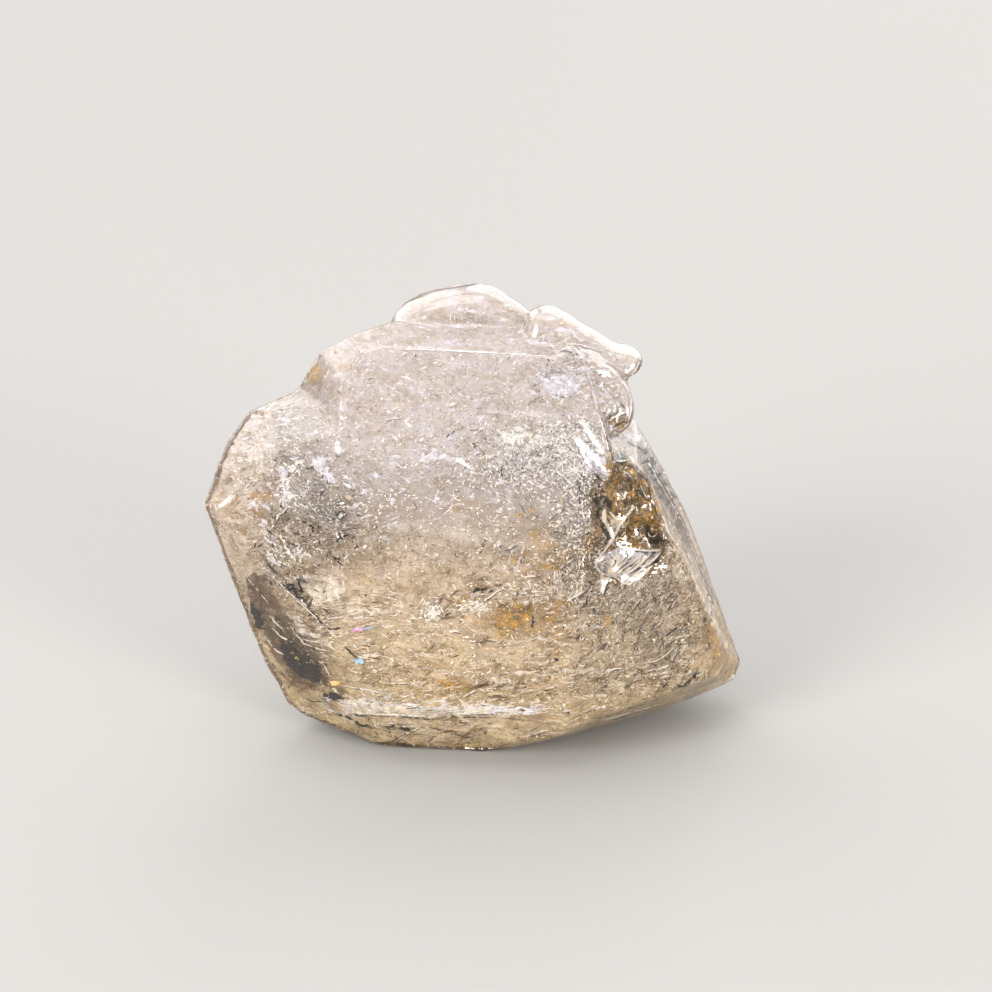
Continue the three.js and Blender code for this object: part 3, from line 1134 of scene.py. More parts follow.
CROWN_MARKS = (
    Crack("crest hairline", Finish.FROST, 1.3, ((393, 349), (440, 350), (480, 352), (510, 354),
              (550, 356)), 0.12, 0.2),
    # The rim cracks and the lip tip are painted highlights: white lines along the edges of the crown and the
    # lips, where light rims the crystal.
    Crack("left rim", Finish.FROST, 2.2, ((388, 327), (392, 314), (397, 306), (404, 302), (414, 296),
              (430, 290))),
    Crack("crown rim", Finish.FROST, 1.6, ((430, 290), (450, 287), (475, 283), (485, 284), (500, 292),
              (528, 306))),
    Crack("right lip rim", Finish.FROST, 2.0, ((560, 310), (590, 327), (620, 345), (634, 350), (639, 360))),
    Crack("lip tip", Finish.FROST, 2.6, ((639, 360), (637, 369), (630, 376), (622, 379))),
    Crack("second lip rim", Finish.FROST, 2.2, ((631, 398), (631, 410), (628, 424), (620, 430))),
    Crack("lip fold", Finish.FROST, 2.0, ((565, 343), (580, 345), (592, 348), (600, 352)), 0.3),
    Crack("lip shadow", Finish.SMOKE, 1.6, ((560, 350), (570, 352), (580, 355)), 0.3),
    Sheet("lilac patch", Finish.LILAC, ((545, 378), (560, 372), (575, 376), (580, 390), (568, 397),
              (552, 396),
                                         (542, 390)), 0.2),
    Crack("lilac edge", Finish.SMOKE, 1.8, ((552, 394), (563, 397), (577, 397))),
    Crack("olive crack", Finish.SHADE, 3.4, ((530, 402), (537, 398), (543, 396))),
    Crack("crown crack", Finish.SHADE, 1.3, ((482, 391), (490, 394), (502, 393))),
    Sheet("shoulder stain", Finish.HONEY, ((306, 379), (309, 366), (319, 356), (320, 378),
              (312, 388)), 0.20),
    Sheet("lip stain", Finish.HONEY, ((604, 412), (618, 414), (627, 420), (620, 430), (610, 432),
              (605, 424)), 0.24),
    Sheet("lip cream", Finish.FROST, ((594, 370), (606, 370), (613, 378), (600, 379)), 0.24),
    Crack("lip left edge", Finish.LILAC, 3.0, ((584, 362), (589, 376), (593, 390), (597, 410)), 0.1, 0.05),
)
TONGUE_MARKS = (
    # The tongue rim is a painted highlight along the tongue's edge.
    Crack("tongue rim", Finish.FROST, 3.0, ((597, 410), (602, 424), (607, 444), (611, 460),
              (612, 468)), 0.25),
    Sheet("tongue face", Finish.LILAC, ((580, 456), (596, 452), (606, 458), (609, 470), (608, 480),
              (598, 476),
                                         (588, 469)), 0.12),
    Crack("tongue left shadow", Finish.SMOKE, 1.8, ((576, 447), (584, 460), (593, 472), (604, 483)), 0.1),
    Crack("tongue right shadow", Finish.SMOKE, 2.0, ((613, 446), (616, 462), (613, 478), (608, 485)), 0.1),
    Sheet("tongue tip", Finish.FROST, ((597, 466), (607, 466), (611, 472), (608, 480),
              (600, 477)), 0.2, 0.05),
    Crack("tongue line", Finish.FROST, 2.2, ((572, 443), (585, 448), (598, 452)), 0.20),
    Crack("tongue dark line", Finish.SMOKE, 1.5, ((586, 449), (592, 451), (598, 453)), 0.25),
    Crack("tongue dark dash", Finish.SMOKE, 1.3, ((588, 442), (593, 441), (597, 446)), 0.25),
)
PIT_MARKS = (
    Sheet("pit brown", Finish.IRON, ((611, 447), (627, 449), (634, 462), (646, 478), (650, 500), (657, 520),
                                      (648, 545), (624, 547), (614, 540), (607, 512), (604, 482)), 0.2),
    Sheet("pit orange", Finish.HONEY, ((604, 487), (618, 485), (626, 500), (628, 510), (621, 518),
              (613, 514),
                                        (612, 503), (604, 497)), 0.12, 0.04),
    # The pit hollow and the pit cleft are painted shadow: near-black sheets where the pit's recess lies in
    # shade.
    Sheet("pit hollow", Finish.SMOKE, ((591, 499), (600, 496), (606, 497), (614, 504), (611, 510),
              (604, 507),
                                        (600, 512), (601, 519), (594, 519),
                                        (597, 509)), 0.08, 0.03, 1.5, 0.9),
    Sheet("pit cleft", Finish.SMOKE, ((600, 521), (604, 521), (608, 529), (612, 538), (609, 541),
              (605, 546),
                                       (602, 542), (606, 539), (602, 530)), 0.08, 0.03, 1.0, 0.9),
    Crack("cleft glint", Finish.FROST, 2.0, ((601, 531), (604, 535), (606, 539)), 0.06),
    Sheet("pit upper shadow", Finish.SMOKE, ((612, 452), (626, 452), (629, 462), (620, 465),
              (613, 460)), 0.12, 0.04),
    Crack("upper glint", Finish.FROST, 2.4, ((616, 460), (621, 461), (627, 460)), 0.07),
    Crack("upper hook", Finish.FROST, 1.8, ((613, 447), (618, 450), (621, 458)), 0.07),
    Crack("wall glint", Finish.FROST, 2.6, ((628, 452), (631, 458), (635, 464)), 0.08),
    Crack("wall pink glint", Finish.FROST, 2.4, ((623, 470), (628, 474), (633, 479)), 0.08),
    Crack("wall shadow", Finish.SMOKE, 3.0, ((624, 464), (634, 468), (641, 476), (648, 480)), 0.11),
    Crack("wall dark run", Finish.SMOKE, 2.6, ((628, 478), (632, 488), (642, 494), (650, 502)), 0.11),
    Crack("wall light run", Finish.FROST, 2.0, ((640, 484), (645, 494), (650, 504), (652, 512)), 0.08),
    Crack("wall dark edge", Finish.SMOKE, 3.2, ((647, 480), (650, 495), (654, 508), (659, 518)), 0.12),
    Crack("wall dark dots", Finish.SMOKE, 2.8, ((625, 498), (628, 491), (630, 486)), 0.08),
    Crack("wall white dots", Finish.FROST, 2.0, ((617, 490), (620, 496), (626, 502)), 0.07),
    Sheet("pit sparkle", Finish.SMOKE, ((644, 526), (650, 525), (652, 532), (657, 537), (659, 527),
              (663, 540),
                                         (657, 545), (650, 546), (646, 538)), 0.08, 0.03, 1.5, 0.9),
    Crack("sparkle glint", Finish.FROST, 3.0, ((648, 532), (651, 537), (656, 535)), 0.06),
    Crack("left boundary", Finish.SMOKE, 2.2, ((583, 470), (579, 485), (580, 500), (578, 516))),
    Crack("left boundary glints", Finish.FROST, 1.8, ((586, 478), (584, 490), (582, 505),
              (584, 520)), 0.15),
    Crack("grey wall", Finish.SMOKE, 3.4, ((627, 441), (634, 446), (643, 450), (642, 456))),
    Sheet("wall highlight", Finish.LILAC, ((626, 434), (636, 433), (644, 440), (640, 443), (632, 439),
              (626, 438)),
          0.1, 0.03, 3.0, 0.9),
    Crack("wall plum band", Finish.SHADE, 4.5, ((626, 443), (634, 446), (643, 448)), 0.14),
    Crack("right strip light", Finish.FROST, 3.0, ((645, 452), (650, 465), (656, 478), (662, 487))),
    # The right strip's dark and brown cracks are partly painted shade, darkening that facet over its own
    # brown colour.
    Crack("right strip dark", Finish.SHADE, 4.0, ((638, 458), (648, 474), (658, 492), (668, 508)), 0.20),
    Crack("right strip brown", Finish.SHADE, 3.5, ((660, 480), (672, 500), (682, 520), (694, 548)), 0.35),
)
STRIP_MARKS = (
    Sheet("neck gold", Finish.IRON, ((606, 414), (618, 410), (628, 413), (631, 424), (621, 430),
              (608, 426)), 0.13),
    Crack("neck light", Finish.FROST, 2.2, ((607, 421), (616, 416), (628, 411)), 0.08),
    Crack("neck dark", Finish.SMOKE, 2.2, ((612, 428), (620, 424), (629, 421)), 0.08),
    Sheet("shoulder honey", Finish.HONEY, ((303, 372), (312, 363), (323, 364), (325, 376), (314, 386),
              (304, 384)),
          0.14),
    # The strip shadow, grey and brown sheets are partly painted shade: they darken the right strip facet as
    # dark surroundings seen through it would, over its own brown and honey colour.
    Sheet("strip shadow", Finish.SHADE, ((650, 462), (662, 478), (684, 520), (694, 552), (684, 546),
              (666, 506)), 0.1,
          0.04, 3.0),
    Sheet("strip grey", Finish.SMOKE, ((641, 446), (648, 450), (664, 478), (676, 500), (672, 508),
              (660, 490),
                                        (650, 474), (643, 460)), 0.12, 0.05, 8.0),
    Sheet("strip cream", Finish.MILK, ((690, 560), (700, 584), (716, 616), (732, 650), (728, 654),
              (708, 618),
                                         (692, 580)), 0.12),
    Sheet("strip brown", Finish.UMBER, ((640, 446), (650, 450), (672, 490), (700, 548), (722, 600),
              (738, 650),
                                         (738, 676), (728, 684), (716, 640), (700, 596), (684, 560),
                                         (668, 524),
                                         (656, 492), (646, 466)), 0.2, 0.1),
    Sheet("strip honey", Finish.HONEY, ((700, 584), (712, 596), (730, 640), (738, 668), (730, 684),
              (716, 676),
                                        (708, 640), (702, 610)), 0.20, 0.15),
    Crack("strip streak 5", Finish.MILK, 1.5, ((648, 456), (662, 480), (680, 512), (700, 556),
              (716, 600)), 0.1, jag=0.2),
    Crack("strip streak 1", Finish.FROST, 1.0, ((652, 468), (664, 490), (678, 514),
              (690, 538)), 0.1, jag=0.2),
    Crack("strip streak 2", Finish.SMOKE, 1.2, ((646, 462), (660, 488), (672, 512),
              (680, 530)), 0.12, jag=0.2),
    Crack("strip streak 3", Finish.FROST, 0.8, ((672, 520), (684, 544), (694, 566),
              (700, 582)), 0.1, jag=0.2),
    Crack("strip streak 4", Finish.SMOKE, 1.0, ((684, 534), (696, 560), (706, 584),
              (714, 606)), 0.12, jag=0.2),
)
STAR_MARKS = (
    Sheet("star left arm", Finish.FROST, ((601, 518), (602, 509), (605, 508), (607, 514), (607, 520),
              (611, 527),
                                           (614, 533), (615, 539), (611, 539), (607, 530), (603, 522)),
          0.09, 0.02, 0.8, 0.9),
    Sheet("star right arm", Finish.FROST, ((632, 504), (636, 507), (631, 514), (625, 520), (621, 527),
              (618, 533),
                                            (614, 541), (612, 537), (616, 529), (619, 522), (624, 516),
                                            (629, 510)),
          0.09, 0.02, 0.8, 0.9),
    Sheet("star bar", Finish.FROST, ((607, 511), (612, 512), (618, 518), (624, 517), (625, 520), (616, 522),
                                      (610, 515)), 0.09, 0.02, 0.8, 0.9),
    Sheet("star stem", Finish.FROST, ((610, 538), (615, 539), (611, 545), (606, 551), (603, 558),
              (599, 557),
                                       (604, 549)), 0.09, 0.02, 0.8, 0.9),
    Sheet("star web", Finish.MILK, ((606, 513), (616, 520), (621, 520), (614, 536)), 0.1, 0.03, 1.0, 0.9),
    Sheet("fan", Finish.LILAC, ((600, 556), (608, 552), (618, 546), (626, 549), (640, 549), (661, 549),
              (655, 558),
                                (650, 565), (640, 573), (626, 584), (612, 578), (606, 582), (603, 595),
                                (600, 588),
                                (600, 576), (594, 566)), 0.15, 0.05, 1.5, 1.0),
    Sheet("fan heart", Finish.FROST, ((608, 559), (618, 554), (621, 560), (618, 566), (628, 567),
              (620, 573),
                                      (612, 574), (606, 572), (611, 566)), 0.08, 0.03, 2.0, 0.9),
    Sheet("fan shoulder", Finish.FROST, ((593, 561), (599, 556), (609, 555), (603, 560), (599, 563),
              (600, 569),
                                          (604, 573), (612, 573), (608, 577), (600, 574), (596, 569)),
          0.10, 0.02, 0.8, 0.9),
    Sheet("fan tail", Finish.FROST, ((600, 575), (611, 574), (608, 580), (606, 587), (603, 597), (600, 590),
                                      (602, 583)), 0.10, 0.02, 0.8, 0.9),
    Sheet("fan fold", Finish.FROST, ((619, 581), (623, 574), (632, 566), (640, 559), (645, 553), (649, 556),
                                      (642, 564), (633, 571), (626, 578),
                                      (621, 584)), 0.09, 0.02, 0.8, 0.9),
    Sheet("fan hem", Finish.FROST, ((626, 584), (634, 577), (644, 570), (651, 565), (653, 568), (644, 575),
                                     (636, 581), (628, 586)), 0.07, 0.03, 1.2, 0.9),
    Sheet("fan gap", Finish.SHADE, ((642, 552), (651, 553), (657, 552), (652, 558),
              (646, 557)), 0.08, 0.03, 0.8,
          0.9),
    Crack("fan top rim", Finish.FROST, 2.2, ((624, 547), (636, 550), (650, 551), (662, 550)), 0.08, 0.15),
    Crack("fan right rim", Finish.FROST, 2.8, ((661, 551), (655, 558), (650, 563), (640, 568)), 0.08, 0.15),
    Crack("fan lower rim", Finish.FROST, 2.6, ((648, 566), (640, 571), (632, 578), (624, 584),
              (617, 579)), 0.08, 0.15),
    Crack("fan left rim", Finish.FROST, 3.4, ((597, 556), (595, 565), (601, 574), (612, 576),
              (620, 580)), 0.08, 0.15),
    Crack("fan foot", Finish.FROST, 4.6, ((610, 574), (605, 582), (602, 590), (603, 597)), 0.08, 0.1),
    Crack("fan foot shadow", Finish.SMOKE, 2.0, ((610, 580), (606, 589), (603, 597)), 0.06, 0.1),
    Crack("fan right shadow", Finish.SMOKE, 4.0, ((661, 554), (657, 560), (653, 564)), 0.1, 0.1),
    Crack("fan top shadow", Finish.SMOKE, 1.8, ((640, 552), (650, 553), (658, 553)), 0.06, 0.1),
    Crack("fan ridge 1", Finish.FROST, 2.9, ((618, 578), (628, 569), (638, 560), (642, 553)), 0.075),
    Crack("fan ridge 2", Finish.FROST, 2.6, ((612, 573), (622, 565), (630, 556), (634, 551)), 0.075),
    Crack("fan ridge 3", Finish.FROST, 2.3, ((626, 574), (638, 566), (646, 558), (650, 554)), 0.075),
    Crack("fan ridge 4", Finish.FROST, 2.1, ((620, 562), (626, 555), (628, 550)), 0.075),
    Crack("fan groove 1", Finish.SMOKE, 2.4, ((615, 573), (624, 566), (632, 558)), 0.065),
    Crack("fan groove 2", Finish.SMOKE, 2.2, ((622, 572), (634, 564), (640, 557)), 0.065),
    Crack("fan groove 3", Finish.SMOKE, 2.0, ((630, 574), (641, 567), (647, 560)), 0.065),
    Crack("fan groove 4", Finish.SMOKE, 2.4, ((611, 556), (616, 562), (612, 568)), 0.065),
    Crack("fan groove 5", Finish.SMOKE, 2.2, ((620, 580), (621, 576), (623, 572)), 0.065),
)
LEFT_MARKS = (
    Sheet("left lilac 1", Finish.LILAC, ((311, 456), (322, 456), (329, 466), (337, 480), (334, 486),
              (324, 480),
                                          (317, 472), (311, 466)), 0.09),
    Sheet("left lilac 2", Finish.LILAC, ((253, 493), (258, 495), (256, 505), (249, 512), (246, 509),
              (250, 501)), 0.09),
    Crack("left lilac 3", Finish.LILAC, 4.0, ((262, 503), (267, 508), (272, 513))),
    Crack("left slash 2", Finish.FROST, 3.0, ((270, 530), (276, 520), (281, 508)), 0.08),
    Crack("left slash 3", Finish.FROST, 2.6, ((284, 545), (292, 556), (301, 566)), 0.08),
    Crack("left black 1", Finish.SMOKE, 3.4, ((262, 556), (270, 566), (280, 580), (292, 594)), 0.08),
    Crack("left black 2", Finish.SMOKE, 4.0, ((296, 574), (300, 586), (306, 598)), 0.08),
    Crack("left black 3", Finish.SMOKE, 2.6, ((300, 520), (312, 526), (320, 534)), 0.08),
    Crack("left dash", Finish.FROST, 2.4, ((276, 516), (283, 512), (287, 507))),
    Crack("left lilac 4", Finish.LILAC, 4.0, ((272, 535), (276, 544), (280, 549))),
    Crack("left band", Finish.FROST, 4.5, ((280, 534), (284, 543), (288, 549))),
    Crack("left fan 1", Finish.FROST, 2.6, ((264, 543), (272, 550), (280, 553))),
    Crack("left fan 2", Finish.FROST, 3.0, ((266, 550), (275, 560), (287, 566))),
    Crack("left fan 3", Finish.FROST, 2.4, ((266, 557), (274, 563), (284, 568))),
    Crack("left needle 1", Finish.FROST, 1.8, ((311, 507), (318, 514), (324, 520)), 0.15),
    Crack("left needle 2", Finish.FROST, 1.3, ((321, 508), (328, 516)), 0.15),
    Crack("left needle 3", Finish.FROST, 1.3, ((335, 520), (339, 527)), 0.15),
    Crack("left frost dot", Finish.FROST, 5.0, ((336, 532), (339, 536), (341, 538))),
    Crack("left dark curve", Finish.SMOKE, 1.8, ((312, 478), (320, 482), (327, 490))),
    Crack("left dark dash 1", Finish.SMOKE, 3.0, ((305, 467), (309, 469), (314, 468))),
    Crack("left dark dash 2", Finish.SMOKE, 3.0, ((312, 450), (316, 453))),
    Crack("left dark run 1", Finish.SMOKE, 2.6, ((291, 533), (298, 534), (306, 538))),
    Crack("left dark run 2", Finish.SMOKE, 3.6, ((316, 508), (322, 511), (330, 520), (340, 519),
              (349, 513)), 0.25),
    Crack("left dark run 3", Finish.SMOKE, 3.2, ((334, 545), (340, 538), (350, 534)), 0.25),
    Crack("left dark run 4", Finish.SMOKE, 3.0, ((333, 556), (338, 562), (344, 566)), 0.25),
    Sheet("left shadow 1", Finish.SHADE, ((258, 548), (266, 556), (278, 572), (283, 582), (277, 579),
              (266, 570),
                                           (259, 560)), 0.09),
    Sheet("left shadow 2", Finish.SMOKE, ((281, 578), (290, 582), (298, 592), (306, 598), (310, 607),
              (305, 608),
                                           (296, 600), (285, 588)), 0.09),
    Sheet("left shadow 3", Finish.SHADE, ((294, 572), (300, 572), (304, 584), (306, 596), (300, 594),
              (295, 584))),
    Crack("left glint 1", Finish.FROST, 2.6, ((274, 574), (276, 575), (278, 576)), 0.09),
    Crack("left glint 2", Finish.FROST, 2.6, ((303, 603), (305, 605), (307, 606)), 0.08),
    Crack("crease line", Finish.FROST, 1.6, ((257, 560), (270, 573), (285, 589), (300, 603), (315, 617),
              (330, 632),
                                             (342, 643)), 0.1, 0.2),
    Crack("crease dark 1", Finish.SMOKE, 3.0, ((312, 611), (318, 619), (327, 629), (345, 628)), 0.15),
    Crack("crease dark 2", Finish.SMOKE, 3.2, ((341, 644), (350, 652), (359, 659)), 0.15),
    Sheet("cream patch", Finish.MILK, ((306, 578), (340, 574), (350, 590), (340, 602), (315, 606),
              (305, 592)), 0.24),
    Sheet("amber patch", Finish.HONEY, ((358, 572), (372, 573), (374, 584), (362, 588), (356, 580)), 0.20),
)
FOOT_LEFT_MARKS = (
    Sheet("foot dark haze", Finish.SHADE, ((243, 575), (262, 580), (290, 618), (315, 650), (332, 680),
              (316, 690),
                                            (292, 682), (270, 650), (252, 610)), 0.16, 0.04),
    Sheet("foot dark band", Finish.SMOKE, ((277, 638), (290, 640), (307, 657), (324, 677), (317, 684),
              (297, 677),
                                            (283, 660)), 0.11, 0.03, 1.5),
    Sheet("foot dark 5", Finish.SHADE, ((247, 593), (260, 592), (270, 606), (264, 622), (255, 618),
              (250, 607)), 0.12,
          0.03),
    Crack("foot light 7", Finish.FROST, 2.6, ((267, 612), (276, 623), (284, 632)), 0.07),
    Crack("foot light 8", Finish.FROST, 2.0, ((272, 628), (281, 637), (290, 641)), 0.07),
    Crack("foot brown 4", Finish.IRON, 3.4, ((284, 640), (294, 654), (306, 668)), 0.08),
    Sheet("foot dark edge", Finish.SHADE, ((244, 575), (258, 572), (272, 590), (280, 606), (270, 608),
              (254, 594)), 0.1,
          0.03),
    Sheet("foot dark 1", Finish.SMOKE, ((250, 602), (256, 606), (262, 612), (264, 628), (260, 634),
              (253, 620),
                                         (249, 608)), 0.10, 0.03),
    Sheet("foot dark 2", Finish.SHADE, ((275, 622), (281, 615), (290, 630), (300, 642), (308, 652),
              (320, 662),
                                         (326, 670), (324, 676), (316, 680), (305, 676), (298, 668),
                                         (288, 660),
                                         (280, 648), (276, 640), (273, 630)), 0.13),
    Sheet("foot dark 3", Finish.SMOKE, ((278, 624), (284, 632), (290, 640), (300, 650), (310, 658),
              (320, 668),
                                         (318, 676), (306, 670), (294, 658), (284, 646),
                                         (277, 634)), 0.12, 0.03),
    Sheet("foot dark 4", Finish.SHADE, ((252, 587), (258, 590), (268, 598), (272, 607), (265, 608),
              (256, 600)), 0.20),
    Sheet("foot grey", Finish.SHADE, ((251, 571), (262, 574), (270, 582), (268, 590), (258, 586)), 0.24),
    Crack("foot light 1", Finish.FROST, 1.8, ((246, 576), (256, 588), (266, 600), (270, 607)), 0.07),
    Crack("foot light 2", Finish.FROST, 2.0, ((262, 633), (268, 640), (275, 650), (284, 655)), 0.07),
    Crack("foot light 3", Finish.FROST, 2.2, ((297, 634), (304, 644), (315, 648), (330, 652)), 0.07),
    Crack("foot light 4", Finish.FROST, 1.6, ((302, 639), (310, 641), (320, 643)), 0.12),
    Crack("foot light 5", Finish.FROST, 1.6, ((318, 660), (326, 668), (330, 678)), 0.12),
    Crack("foot light 6", Finish.FROST, 1.6, ((288, 622), (294, 632), (302, 641)), 0.07),
    Sheet("foot honey", Finish.MILK, ((280, 612), (300, 615), (312, 628), (330, 640), (336, 650),
              (316, 644),
                                       (300, 634), (288, 624)), 0.24),
    Crack("foot brown 1", Finish.SHADE, 3.2, ((265, 655), (275, 668), (290, 682), (303, 691)), 0.25),
    Crack("foot brown 2", Finish.SHADE, 2.6, ((270, 670), (278, 678), (284, 684)), 0.25),
    Crack("foot brown 3", Finish.IRON, 3.0, ((302, 674), (312, 680), (320, 683))),
    Crack("foot dark line", Finish.SMOKE, 1.8, ((306, 698), (312, 702), (322, 701))),
    Sheet("foot crazed", Finish.SMOKE, ((322, 697), (330, 690), (338, 692), (346, 698), (340, 702),
              (328, 701)), 0.2),
    Crack("foot crazed light", Finish.FROST, 3.0, ((332, 688), (336, 691), (339, 694)), 0.08),
    Crack("magenta glint", Finish.MAGENTA, 5.5, ((351, 631), (357, 629), (364, 629)), 0.15, 0.0),
    Crack("magenta tail", Finish.AZURE, 2.0, ((363, 629), (368, 628), (373, 627)), 0.15, 0.0),
    Crack("azure glint", Finish.AZURE, 7.5, ((354, 660), (359, 661), (364, 663)), 0.15, 0.0),
    Crack("amber glint", Finish.AMBER, 7.0, ((330, 682), (335, 683), (340, 683)), 0.15, 0.0),
    Crack("violet glint", Finish.MAGENTA, 2.6, ((442, 674), (447, 673), (452, 673)), 0.2, 0.0),
)
BASE_MARKS = (
    Sheet("base white band", Finish.MILK, ((343, 702), (352, 697), (375, 698), (380, 703), (400, 705),
              (420, 704),
                                            (432, 708), (446, 702), (456, 704), (470, 700), (482, 699),
                                            (495, 705),
                                            (512, 710), (518, 715), (500, 717), (455, 716), (433, 719),
                                            (400, 717),
                                            (345, 714)), 0.14),
    Crack("base white 1", Finish.FROST, 2.8, ((345, 712), (370, 714), (400, 715), (430, 717),
              (440, 716)), 0.12),
    Crack("base white 2", Finish.FROST, 2.6, ((400, 708), (415, 706), (428, 709), (442, 707)), 0.12),
    Crack("base white 3", Finish.FROST, 3.0, ((447, 714), (460, 713), (480, 713), (498, 711),
              (510, 711)), 0.12),
    Crack("base white 4", Finish.FROST, 2.4, ((478, 703), (488, 705), (498, 708)), 0.12),
    Crack("base white 5", Finish.FROST, 2.0, ((463, 697), (470, 693), (478, 690)), 0.12),
    Crack("base white 6", Finish.FROST, 1.8, ((340, 685), (355, 688), (370, 690), (384, 694)), 0.12),
    Crack("base white 7", Finish.FROST, 1.8, ((388, 683), (400, 683), (410, 684)), 0.12),
    Crack("base grey 1", Finish.SHADE, 1.8, ((345, 681), (360, 682), (372, 684)), 0.15),
    Crack("base grey 2", Finish.SHADE, 1.8, ((376, 696), (390, 698), (402, 697)), 0.15),
    Crack("base edge 1", Finish.SMOKE, 2.4, ((350, 715), (360, 716), (369, 716)), 0.1),
    Crack("base edge 2", Finish.SMOKE, 1.3, ((395, 717), (432, 720), (447, 717), (500, 718)), 0.1),
    Crack("base dark 1", Finish.SMOKE, 4.2, ((335, 713), (348, 717), (360, 725), (374, 728))),
    Crack("base dark 2", Finish.SMOKE, 5.2, ((387, 725), (400, 728), (412, 730))),
    Crack("base dark 3", Finish.SHADE, 3.4, ((430, 727), (445, 732), (463, 731))),
    Crack("base dark 4", Finish.SHADE, 3.0, ((455, 735), (466, 737), (474, 737))),
    Crack("base dark 5", Finish.SHADE, 2.6, ((376, 732), (386, 735), (395, 738))),
    Crack("base slant dark", Finish.SHADE, 2.2, ((388, 744), (398, 738), (410, 732)), 0.15),
    Crack("base slant light", Finish.FROST, 1.6, ((396, 741), (408, 733), (420, 727)), 0.1),
    Sheet("base stain", Finish.HONEY, ((437, 744), (460, 742), (484, 744), (478, 750), (455, 749),
              (440, 748)), 0.20),
    Crack("rim light 1", Finish.FROST, 2.2, ((522, 738), (540, 732), (558, 727)), 0.15),
    Crack("rim dark 1", Finish.SHADE, 2.2, ((508, 741), (520, 737), (534, 729), (548, 723)), 0.15),
    Crack("rim dark 2", Finish.SHADE, 2.6, ((590, 719), (608, 717), (628, 709), (645, 704))),
    Crack("rim light 2", Finish.FROST, 1.8, ((600, 722), (620, 716), (640, 710), (660, 704)), 0.15),
)
